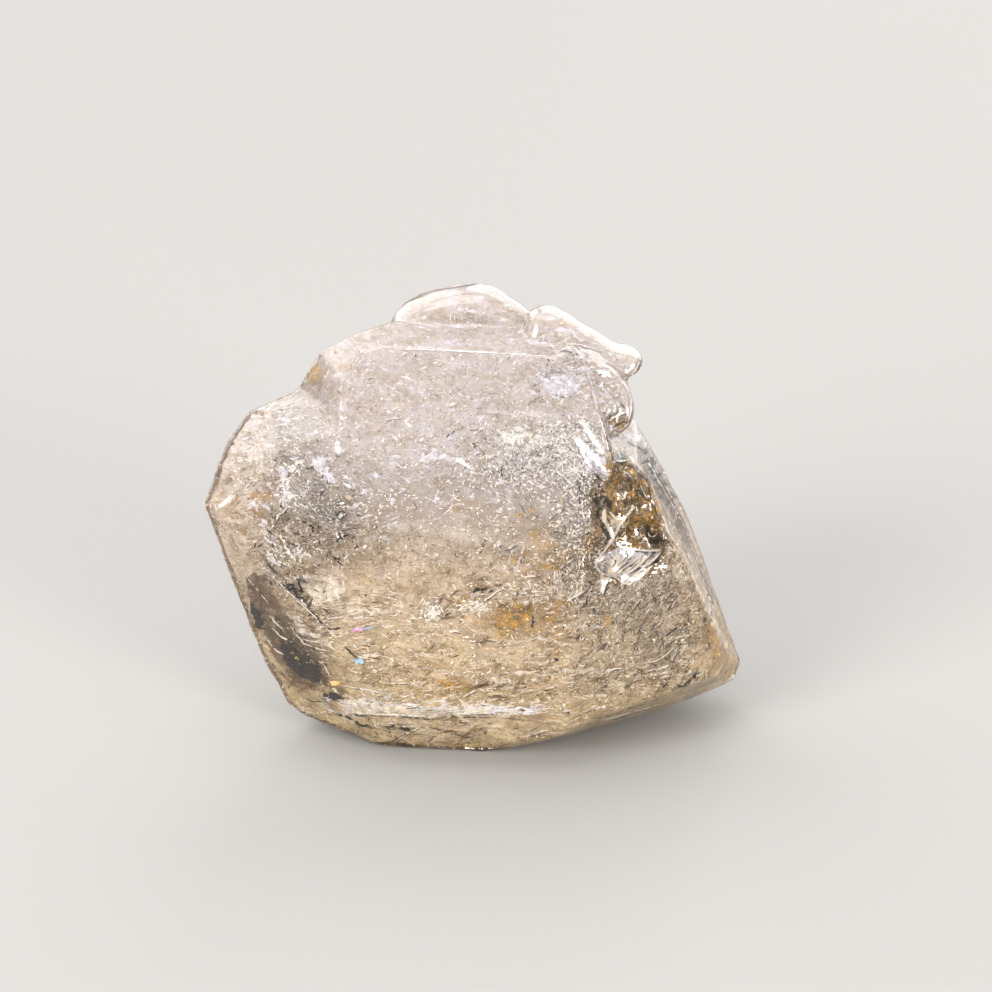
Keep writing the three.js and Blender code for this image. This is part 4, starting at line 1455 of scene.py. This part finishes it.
MIDDLE_MARKS = (
    Sheet("comet", Finish.FROST, ((456, 457), (461, 456), (467, 463), (477, 469), (474, 471),
              (466, 468), (458, 463),
                                   (453, 461)), 0.15, 0.05, 0.6, 1.2),
    Sheet("comet tail", Finish.LILAC, ((419, 456), (432, 451), (450, 454), (458, 457), (454, 461),
              (440, 461),
                                        (425, 463), (418, 460)), 0.20),
    Crack("comet shadow", Finish.SHADE, 2.0, ((464, 470), (470, 472), (478, 471)), 0.15),
    Sheet("upper comet", Finish.FROST, ((401, 419), (407, 420), (413, 426), (411, 429),
              (405, 425)), 0.15, 0.05, 0.6,
          1.2),
    Crack("upper streak", Finish.FROST, 1.8, ((385, 420), (394, 418), (401, 418)), 0.15),
    Crack("upper arch", Finish.LILAC, 3.4, ((353, 430), (361, 424), (366, 430), (371, 431)), 0.15),
    Crack("long hair", Finish.FROST, 1.4, ((378, 448), (388, 452), (391, 458), (400, 466),
              (411, 474)), 0.12),
    Crack("twin streak 1", Finish.LILAC, 2.0, ((379, 524), (390, 520), (400, 516)), 0.15),
    Crack("twin streak 2", Finish.LILAC, 1.9, ((371, 534), (380, 528), (392, 524), (401, 521)), 0.15),
    Crack("long streak", Finish.LILAC, 2.3, ((429, 521), (440, 518), (447, 512), (454, 504)), 0.15),
    Crack("faint streak", Finish.LILAC, 1.3, ((441, 509), (452, 500), (463, 491)), 0.15),
    Crack("milk streak", Finish.LILAC, 3.0, ((410, 450), (424, 449), (438, 449)), 0.15),
    Sheet("milk spot", Finish.FROST, ((500, 433), (512, 430), (520, 438), (514, 445), (503, 444)), 0.20),
    Sheet("milk field", Finish.MILK, ((495, 428), (520, 425), (545, 432), (548, 446), (530, 452),
              (505, 452)), 0.24),
    Sheet("peach blush", Finish.HONEY, ((448, 503), (460, 497), (477, 497), (481, 505), (472, 512),
              (452, 514)), 0.24),
    Sheet("peach dot", Finish.HONEY, ((517, 424), (528, 421), (531, 428), (522, 430)), 0.24),
    Crack("olive spot", Finish.SHADE, 3.6, ((414, 502), (416, 508), (414, 512))),
    Crack("dark dot 1", Finish.SMOKE, 3.4, ((499, 474), (502, 469), (504, 466)), 0.12),
    Crack("dark dot 2", Finish.SMOKE, 3.2, ((496, 473), (500, 474), (503, 477)), 0.12),
    Crack("dark dot 3", Finish.SMOKE, 3.0, ((521, 470), (524, 466), (527, 463)), 0.12),
    Crack("dark dot 4", Finish.SMOKE, 2.4, ((500, 437), (501, 433), (502, 430)), 0.12),
    Crack("dark dot 5", Finish.SMOKE, 2.2, ((451, 435), (453, 432), (455, 430)), 0.12),
    Crack("dark dot 6", Finish.SMOKE, 2.0, ((446, 438), (448, 435), (450, 434)), 0.12),
    Crack("dark dot 7", Finish.SMOKE, 2.2, ((470, 430), (472, 431), (475, 430)), 0.12),
    Crack("dark dash 1", Finish.SMOKE, 1.6, ((519, 502), (523, 510), (529, 520)), 0.15),
    Crack("dark dash 2", Finish.SHADE, 2.0, ((416, 442), (422, 442), (430, 441)), 0.15),
    Crack("slant band", Finish.SHADE, 3.4, ((487, 536), (483, 546), (479, 556)), 0.3),
    Crack("slant light 1", Finish.LILAC, 1.8, ((504, 550), (511, 547), (519, 542)), 0.12),
    Crack("slant dark 1", Finish.SMOKE, 1.7, ((499, 553), (502, 551), (512, 549), (520, 543)), 0.12),
    Crack("slant light 2", Finish.LILAC, 3.0, ((524, 545), (520, 559), (516, 574)), 0.15),
    Crack("slant dark 2", Finish.SHADE, 1.6, ((521, 545), (517, 559), (514, 568)), 0.12),
    Crack("slant light 3", Finish.LILAC, 2.0, ((513, 548), (510, 557), (508, 566)), 0.15),
    Crack("white knot", Finish.LILAC, 5.5, ((497, 547), (500, 543), (502, 539))),
    Sheet("honey field", Finish.HONEY, ((522, 532), (542, 530), (560, 545), (568, 560), (558, 574),
              (540, 568),
                                         (526, 555)), 0.24),
    Sheet("peach 2", Finish.HONEY, ((488, 570), (500, 571), (503, 580), (492, 579)), 0.24),
    Sheet("peach 3", Finish.HONEY, ((506, 579), (518, 580), (523, 590), (512, 591)), 0.24),
    Crack("lips dark 1", Finish.SMOKE, 4.0, ((470, 593), (478, 590), (487, 588)), 0.15),
    Crack("lips dark 2", Finish.SMOKE, 3.0, ((485, 595), (489, 592), (494, 591)), 0.15),
    Crack("lips olive", Finish.SHADE, 3.6, ((495, 585), (499, 585), (503, 585)), 0.15),
    Sheet("lips stain", Finish.IRON, ((456, 600), (463, 595), (472, 593), (470, 600), (461, 604)), 0.13),
    Crack("lips light 1", Finish.FROST, 2.2, ((480, 603), (488, 598), (497, 591), (504, 588)), 0.12),
    Crack("lips light 2", Finish.FROST, 2.4, ((510, 592), (518, 594), (530, 592), (541, 591)), 0.12),
    Crack("lips light 3", Finish.FROST, 2.2, ((515, 574), (525, 577), (541, 575)), 0.12),
    Crack("lips shade", Finish.SHADE, 2.0, ((505, 600), (525, 598), (545, 596))),
    Crack("cream dash", Finish.FROST, 3.6, ((449, 631), (454, 631), (459, 632))),
    Crack("white dash", Finish.FROST, 2.6, ((469, 641), (475, 641), (482, 641)), 0.15),
    Crack("dark tick", Finish.SMOKE, 3.4, ((445, 616), (448, 614), (452, 613)), 0.12),
    Crack("dark mark 1", Finish.SMOKE, 3.6, ((533, 615), (533, 623), (530, 632)), 0.12),
    Crack("dark mark 2", Finish.SMOKE, 1.9, ((482, 644), (484, 640), (492, 641), (500, 644),
              (504, 639)), 0.12),
    Crack("dark mark 3", Finish.SMOKE, 4.4, ((554, 658), (557, 660), (559, 661)), 0.12),
    Crack("dark mark 4", Finish.SMOKE, 2.4, ((561, 571), (564, 567), (568, 566)), 0.12),
    Crack("dark mark 5", Finish.SMOKE, 2.2, ((564, 572), (562, 577), (562, 580)), 0.12),
    Sheet("iron blaze", Finish.IRON, ((500, 612), (518, 608), (534, 604), (534, 618), (518, 630),
              (499, 629)), 0.13),
    Crack("iron streak", Finish.IRON, 4.4, ((516, 609), (525, 606), (537, 603))),
    Sheet("iron low", Finish.IRON, ((436, 681), (450, 682), (462, 684), (479, 684), (470, 689), (452, 691),
                                     (440, 688)), 0.13),
    Sheet("iron wash", Finish.HONEY, ((480, 608), (520, 600), (560, 606), (575, 620), (545, 632),
              (500, 636),
                                       (478, 622)), 0.24, 0.2),
    Sheet("olive haze", Finish.SHADE, ((572, 556), (584, 556), (588, 570), (576, 574)), 0.24),
    Crack("speck 1", Finish.SMOKE, 2.8, ((588, 581), (591, 583), (593, 587)), 0.1),
    Crack("speck 2", Finish.SMOKE, 3.0, ((594, 588), (592, 591), (590, 592)), 0.1),
    Crack("right streak", Finish.FROST, 3.6, ((566, 601), (574, 596), (583, 592)), 0.12),
    Crack("right streak dark", Finish.SMOKE, 1.6, ((572, 600), (577, 598), (584, 594)), 0.1),
    Crack("long seam", Finish.SHADE, 1.4, ((500, 648), (515, 645), (530, 639), (545, 631)), 0.15),
    Crack("long seam 2", Finish.SHADE, 1.4, ((548, 690), (562, 685), (580, 683)), 0.15),
)
RIGHT_MARKS = (
    Crack("right dash 1", Finish.SMOKE, 3.6, ((665, 636), (671, 632), (678, 626)), 0.12),
    Crack("right dash 2", Finish.SMOKE, 3.4, ((692, 647), (695, 643), (698, 639)), 0.12),
    Crack("right dash 3", Finish.SMOKE, 2.4, ((654, 619), (656, 616), (658, 613)), 0.12),
    Crack("right dot", Finish.SMOKE, 5.0, ((654, 596), (655, 599), (656, 602)), 0.12),
    Crack("right twin 1", Finish.FROST, 1.8, ((666, 611), (669, 605), (673, 598)), 0.12),
    Crack("right twin 2", Finish.FROST, 1.6, ((670, 612), (673, 606), (675, 600)), 0.12),
    Sheet("right yellow", Finish.HONEY, ((660, 592), (670, 593), (672, 603), (662, 604)), 0.24),
    Crack("right arc 1", Finish.SHADE, 5.0, ((711, 610), (713, 619), (709, 629))),
    Crack("right arc 2", Finish.SHADE, 2.6, ((701, 642), (705, 634), (713, 629))),
    Crack("right arc 3", Finish.SHADE, 4.6, ((709, 640), (709, 647), (707, 652))),
    Crack("right arc 4", Finish.SHADE, 2.4, ((699, 622), (704, 630), (702, 640))),
    Crack("right sweep 1", Finish.FROST, 1.7, ((640, 664), (656, 661), (666, 655), (675, 646)), 0.12),
    Crack("right sweep 2", Finish.SHADE, 3.0, ((654, 665), (664, 662), (676, 661)), 0.15),
    Crack("right sweep 3", Finish.SHADE, 2.2, ((630, 673), (645, 674), (660, 670), (673, 667)), 0.15),
    Crack("right sweep 4", Finish.FROST, 1.6, ((644, 671), (656, 670), (668, 666)), 0.12),
    Crack("right gash 1", Finish.SMOKE, 5.4, ((676, 685), (684, 686), (691, 680), (697, 673)), 0.15),
    Crack("right gash 2", Finish.SMOKE, 3.0, ((662, 688), (666, 684), (669, 681)), 0.15),
    Crack("right gash light", Finish.FROST, 3.6, ((686, 674), (691, 671), (696, 669)), 0.12),
    Crack("right dark rim", Finish.SHADE, 2.4, ((655, 698), (660, 692), (668, 687)), 0.15),
    Crack("right light", Finish.FROST, 2.2, ((607, 672), (614, 669), (624, 668)), 0.12),
    Crack("tall rim light", Finish.FROST, 2.6, ((703, 587), (708, 595), (713, 606),
              (716, 612)), 0.15, jag=0.2),
    Crack("tall rim dark", Finish.SHADE, 1.8, ((700, 570), (708, 584), (716, 600),
              (722, 616)), 0.25, jag=0.2),
    Crack("tip light", Finish.FROST, 3.6, ((728, 680), (735, 675), (739, 666)), 0.15),
    Crack("tip streak 1", Finish.SHADE, 2.2, ((722, 628), (723, 640), (722, 650)), 0.25),
    Crack("tip streak 2", Finish.SHADE, 2.0, ((686, 578), (692, 590), (700, 604))),
)
ALL_MARKS = (
    CROWN_MARKS + TONGUE_MARKS + PIT_MARKS + STRIP_MARKS + STAR_MARKS + LEFT_MARKS + FOOT_LEFT_MARKS
    + BASE_MARKS + MIDDLE_MARKS + RIGHT_MARKS
)
MARKED = (
    ("frosted_cracks_and_highlights", Finish.FROST),
    ("milky_films", Finish.MILK),
    ("lilac_films", Finish.LILAC),
    ("honey_stains", Finish.HONEY),
    ("iron_stains", Finish.IRON),
    ("smoky_cracks_and_shadows", Finish.SMOKE),
    ("brown_films_and_shade", Finish.SHADE),
    ("magenta_glints", Finish.MAGENTA),
    ("azure_glints", Finish.AZURE),
    ("amber_glints", Finish.AMBER),
)

CRACKLED = (
    Patch(470, 570, 340, 240, 4.5),
    Patch(470, 440, 260, 80, 1.2),
    Patch(300, 520, 80, 110, 1.8),
    Patch(540, 450, 90, 60, 1.4),
    Patch(655, 610, 90, 120, 1.8),
    Patch(450, 685, 280, 50, 1.3),
    Patch(628, 490, 40, 80, 0.9),
    Patch(450, 375, 220, 60, 0.3),
    Patch(282, 428, 50, 44, 0.5),
)
SPECKLED = (
    Patch(325, 518, 50, 50, 0.9),
    Patch(535, 460, 90, 45, 1.6),
    Patch(585, 540, 30, 110, 1.4),
    Patch(470, 580, 320, 200, 2.4),
    Patch(660, 620, 90, 110, 1.6),
    Patch(630, 490, 40, 70, 1.2),
    Patch(560, 368, 40, 24, 0.6),
    Patch(350, 680, 90, 60, 0.7),
    Patch(275, 440, 50, 60, 0.5),
    Patch(238, 500, 24, 90, 0.3),
)
LAYERED = (
    Patch(460, 695, 280, 40, 2.0),
    Patch(440, 650, 240, 60, 1.0),
    Patch(620, 670, 120, 40, 0.8),
    Patch(350, 610, 70, 30, 0.5),
)
PITTED = (
    Patch(624, 480, 26, 60, 2.0),
    Patch(640, 530, 26, 30, 0.8),
    Patch(600, 510, 16, 50, 0.8),
    Patch(588, 545, 20, 60, 0.5),
)
GLITTER = (
    Patch(332, 512, 42, 40, 2.4),
    Patch(288, 500, 40, 60, 1.2),
    Patch(272, 556, 24, 30, 0.8),
    Patch(300, 582, 30, 44, 1.8),
    Patch(338, 548, 30, 24, 0.9),
)
HEART = (
    Patch(560, 452, 70, 34, 2.0),
    Patch(520, 474, 60, 26, 1.0),
    Patch(578, 500, 26, 70, 1.6),
    Patch(590, 560, 30, 50, 1.0),
    Patch(540, 590, 60, 20, 0.7),
)
UPPER = (
    Patch(460, 400, 220, 100, 3.0),
    Patch(480, 330, 150, 40, 1.4),
    Patch(600, 360, 50, 30, 0.8),
    Patch(440, 480, 180, 60, 1.6),
    Patch(610, 410, 24, 30, 0.5),
    Patch(560, 384, 40, 20, 0.8),
    Patch(290, 420, 50, 36, 0.5),
)
GLARING = (
    Patch(432, 612, 12, 8, 2.0),
    Patch(474, 606, 18, 8, 2.4),
    Patch(548, 440, 34, 16, 2.0),
    Patch(292, 468, 14, 5, 0.9),
    Patch(286, 481, 8, 8, 0.7),
    Patch(286, 495, 12, 8, 0.8),
    Patch(297, 553, 12, 10, 0.8),
    Patch(274, 555, 14, 10, 0.8),
    Patch(362, 702, 26, 5, 1.2),
    Patch(570, 452, 24, 14, 1.0),
    Patch(512, 438, 16, 8, 0.6),
)
FLAKED = (
    Patch(290, 470, 12, 7, 1.0),
    Patch(288, 496, 10, 8, 1.0),
    Patch(266, 524, 7, 12, 0.8),
    Patch(276, 554, 12, 10, 1.2),
    Patch(296, 550, 7, 8, 0.7),
    Patch(254, 502, 7, 9, 0.7),
)
CENTRAL = (
    Patch(480, 560, 200, 90, 2.0),
    Patch(440, 520, 160, 60, 1.0),
    Patch(560, 590, 90, 70, 1.2),
    Patch(450, 640, 200, 50, 1.0),
)
DARKENED = (
    Patch(670, 625, 80, 110, 2.4),
    Patch(600, 660, 140, 50, 1.4),
    Patch(640, 580, 50, 50, 0.9),
    Patch(430, 732, 150, 16, 1.2),
    Patch(310, 640, 30, 50, 0.6),
    Patch(590, 600, 40, 60, 0.8),
    Patch(560, 560, 30, 60, 0.5),
)
BANDED = (
    Patch(430, 709, 150, 7, 2.0),
    Patch(360, 704, 40, 8, 0.8),
    Patch(500, 712, 40, 4, 0.5),
)
STROKED = (
    Patch(680, 620, 60, 120, 2.0),
    Patch(580, 680, 160, 40, 1.4),
    Patch(400, 735, 120, 14, 1.0),
    Patch(600, 560, 30, 60, 1.2),
    Patch(290, 640, 40, 60, 1.4),
    Patch(470, 600, 60, 20, 0.6),
)
GOLDEN = (
    Patch(545, 560, 60, 60, 1.0),
    Patch(510, 615, 60, 24, 1.6),
    Patch(455, 688, 30, 10, 0.8),
    Patch(560, 640, 80, 60, 1.0),
    Patch(690, 620, 40, 90, 1.4),
    Patch(240, 520, 24, 80, 0.8),
    Patch(600, 690, 120, 24, 0.8),
)
SLANTED = (
    Patch(668, 590, 60, 110, 2.0),
    Patch(635, 620, 60, 60, 1.0),
    Patch(700, 640, 40, 60, 0.8),
)
SWARMS = (
    Swarm("spark_chips", Finish.SPARK, Form.CHIP, 7000, (0.08, 0.32), (1.5, 5.0), (0.06, 0.5), CRACKLED,
          seed=1),
    Swarm("crackle_chips", Finish.CRACKLE, Form.CHIP, 5000, (0.12, 0.6), (1.5, 5.0), (0.15, 1.6),
          CRACKLED, seed=2),
    Swarm("frost_chips", Finish.FROST, Form.CHIP, 4800, (0.08, 0.34), (1.5, 6.0), (0.08, 1.2), CRACKLED,
          seed=9),
    Swarm("umber_chips", Finish.UMBER, Form.CHIP, 6000, (0.08, 0.34), (1.5, 5.0), (0.10, 1.6), SPECKLED,
          seed=3),
    Swarm("gold_chips", Finish.HONEY, Form.CHIP, 260, (0.5, 2.2), (1.5, 5.0), (0.10, 0.8), GOLDEN,
          angle=(8.0, 20.0), tilt=0.2, seed=6),
    Swarm("white_chips", Finish.MILK, Form.CHIP, 700, (0.2, 0.9), (1.5, 5.0), (0.08, 0.5), CRACKLED,
          angle=(5.0, 30.0), tilt=0.3, seed=19),
    Swarm("lilac_chips", Finish.LILAC, Form.CHIP, 900, (0.15, 1.1), (1.5, 5.0), (0.08, 0.35), UPPER,
          angle=(-8.0, 25.0), tilt=0.3, seed=24),
    Swarm("glare_chips", Finish.FROST, Form.CHIP, 1500, (0.08, 0.40), (1.3, 4.0), (0.06, 0.16), GLARING,
          tilt=0.25,
          seed=25),
    Swarm("glare_shadows", Finish.SMOKE, Form.CHIP, 260, (0.05, 0.20), (1.5, 5.0), (0.06, 0.12), GLARING,
          seed=28),
    Swarm("band_threads", Finish.FROST, Form.THREAD, 150, (0.25, 0.7), (8.0, 16.0), (0.06, 0.13), BANDED,
          angle=(2.0, 4.0), tilt=0.1, seed=29),
    Swarm("band_chips", Finish.LILAC, Form.CHIP, 260, (0.3, 0.9), (3.0, 8.0), (0.07, 0.14), BANDED,
          angle=(2.0, 8.0), tilt=0.15, seed=30),
    Swarm("fine_smoke", Finish.SMOKE, Form.CHIP, 6000, (0.05, 0.17), (1.2, 6.0), (0.06, 0.35), CRACKLED,
          seed=31),
    Swarm("left_flakes", Finish.LILAC, Form.CHIP, 46, (0.5, 1.3), (1.6, 4.0), (0.06, 0.12), FLAKED,
          angle=(-55.0, 30.0), tilt=0.3, seed=33),
    Swarm("central_glints", Finish.FROST, Form.CHIP, 1000, (0.08, 0.38), (1.3, 4.0), (0.06, 0.2), CENTRAL,
          angle=(20.0, 40.0), tilt=0.3, seed=34),
    Swarm("central_shadows", Finish.UMBER, Form.CHIP, 1000, (0.08, 0.36), (1.5, 7.0), (0.06, 0.2),
          CENTRAL, seed=35),
    Swarm("low_shadows", Finish.UMBER, Form.CHIP, 2200, (0.10, 0.50), (1.5, 7.0), (0.06, 0.3), DARKENED,
          seed=36),
    Swarm("low_glints", Finish.FROST, Form.CHIP, 900, (0.08, 0.36), (1.5, 7.0), (0.06, 0.2), DARKENED,
          tilt=0.3,
          seed=37),
    Swarm("brown_strokes", Finish.SHADE, Form.CHIP, 380, (0.3, 1.6), (4.0, 10.0), (0.08, 0.4), STROKED,
          angle=(35.0, 30.0), tilt=0.2, seed=32),
    Swarm("upper_frost", Finish.FROST, Form.CHIP, 1600, (0.06, 0.26), (1.5, 9.0), (0.06, 0.25), UPPER,
          angle=(-15.0, 30.0), tilt=0.3, seed=26),
    Swarm("upper_umber", Finish.UMBER, Form.CHIP, 2600, (0.05, 0.20), (1.2, 7.0), (0.06, 0.25), UPPER,
          seed=27),
    Swarm("left_glints", Finish.FROST, Form.CHIP, 420, (0.12, 0.7), (1.5, 5.0), (0.06, 0.2), GLITTER,
          seed=20),
    Swarm("left_shadows", Finish.SMOKE, Form.CHIP, 700, (0.10, 0.55), (1.5, 7.0), (0.06, 0.22), GLITTER,
          seed=21),
    Swarm("heart_glints", Finish.FROST, Form.CHIP, 2600, (0.08, 0.36), (1.5, 6.0), (0.06, 0.2), HEART,
          tilt=0.3,
          seed=22),
    Swarm("heart_shadows", Finish.UMBER, Form.CHIP, 800, (0.07, 0.26), (1.5, 6.0), (0.06, 0.2), HEART,
          seed=23),
    Swarm("spark_threads", Finish.SPARK, Form.THREAD, 800, (0.10, 0.4), (6.0, 14.0), (0.10, 0.8), CRACKLED,
          angle=(25.0, 35.0), tilt=0.3, seed=4),
    Swarm("frost_threads", Finish.FROST, Form.THREAD, 420, (0.10, 0.40), (9.0, 18.0), (0.08, 0.5), LAYERED,
          angle=(3.0, 10.0), tilt=0.25, seed=5),
    Swarm("milk_bands", Finish.MILK, Form.THREAD, 520, (0.35, 1.1), (7.0, 14.0), (0.12, 0.6), LAYERED,
          angle=(3.0, 7.0), tilt=0.2, seed=14),
    Swarm("umber_threads", Finish.UMBER, Form.THREAD, 900, (0.10, 0.36), (8.0, 16.0), (0.15, 1.2),
          LAYERED + SPECKLED, angle=(15.0, 25.0), tilt=0.25, seed=10),
    Swarm("slanted_frost", Finish.FROST, Form.THREAD, 260, (0.12, 0.45), (6.0, 14.0), (0.10, 1.0), SLANTED,
          angle=(58.0, 22.0), tilt=0.25, seed=12),
    Swarm("slanted_umber", Finish.UMBER, Form.THREAD, 260, (0.12, 0.45), (6.0, 14.0), (0.10, 1.0), SLANTED,
          angle=(58.0, 22.0), tilt=0.25, seed=13),
    Swarm("round_sparks", Finish.SPARK, Form.CHIP, 5200, (0.10, 0.6), (1.0, 4.0), (0.08, 1.6), seed=7),
    Swarm("round_crackle", Finish.CRACKLE, Form.CHIP, 5200, (0.2, 1.1), (1.0, 3.0), (0.4, 9.0), seed=8),
    Swarm("pit_glints", Finish.FROST, Form.CHIP, 700, (0.08, 0.42), (1.5, 6.0), (0.06, 0.13), PITTED,
          seed=15),
    Swarm("pit_shadows", Finish.SMOKE, Form.CHIP, 1100, (0.08, 0.55), (1.5, 6.0), (0.06, 0.14), PITTED,
          seed=16),
    Swarm("fine_frost", Finish.FROST, Form.CHIP, 12000, (0.06, 0.20), (1.2, 4.0), (0.08, 0.6), CRACKLED,
          seed=17),
    Swarm("fine_umber", Finish.UMBER, Form.CHIP, 9000, (0.07, 0.20), (1.2, 4.0), (0.08, 0.6), CRACKLED,
          seed=18),
    Swarm("round_frost", Finish.FROST, Form.CHIP, 5200, (0.08, 0.42), (1.5, 6.0), (0.08, 0.9), seed=38),
    Swarm("round_umber", Finish.UMBER, Form.CHIP, 2200, (0.08, 0.4), (1.5, 5.0), (0.08, 1.2), seed=11),
)
VEILS = (
    Veil("veil_left", Finish.MILK, 300, 500, 3.0, 9, 11, lean=-20, swing=35, seed=1),
    Veil("veil_middle", Finish.MILK, 430, 560, 4.0, 16, 10, lean=15, swing=-12, seed=2),
    Veil("veil_upper", Finish.MILK, 480, 450, 3.0, 15, 8, lean=25, swing=10, seed=3),
    Veil("veil_right", Finish.MILK, 640, 580, 2.5, 8, 10, lean=-10, swing=-35, seed=4),
    Veil("veil_low", Finish.HONEY, 480, 670, 3.0, 20, 7, lean=-15, swing=5, seed=5),
)


def main() -> None:
    """Build the scene, piece by piece."""
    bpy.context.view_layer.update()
    eye = Eye()
    eye.camera()
    Studio().build()
    skin = Skin().build()
    log.info("skin: %d faces", len(skin.data.polygons))
    inside = Inside(skin, eye)
    coarse = even_mesh("coarse_form", 0.35, 2)
    pieces = [
        Lining("crown_haze", Finish.MIST, 0.28, 0.15, top_weight).build(inside, skin.data),
        Lining("healed_cloud", Finish.CLOUD, 0.30, 0.6, cloud_weight, wave=2.6).build(inside, coarse),
        Lining("pit_crust", Finish.IRON, 0.14, 0.1, crust_weight).build(inside, skin.data),
    ]
    pieces += [swarm.build(inside) for swarm in SWARMS]
    pieces += [veil.build(inside) for veil in VEILS]
    # Each frosted crack gets a painted shadow: a thin dark edge beside it.
    lips = tuple(mark.lip() for mark in ALL_MARKS if isinstance(mark, Crack) and mark.finish is Finish.FROST)
    pieces += [Marks(label, finish).build(inside, ALL_MARKS + lips) for label, finish in MARKED]
    for piece in pieces:
        log.info("%s: %d faces", piece.name, len(piece.data.polygons))


if __name__ == "__main__":
    logging.basicConfig(level=logging.INFO, format="%(message)s")
    main()
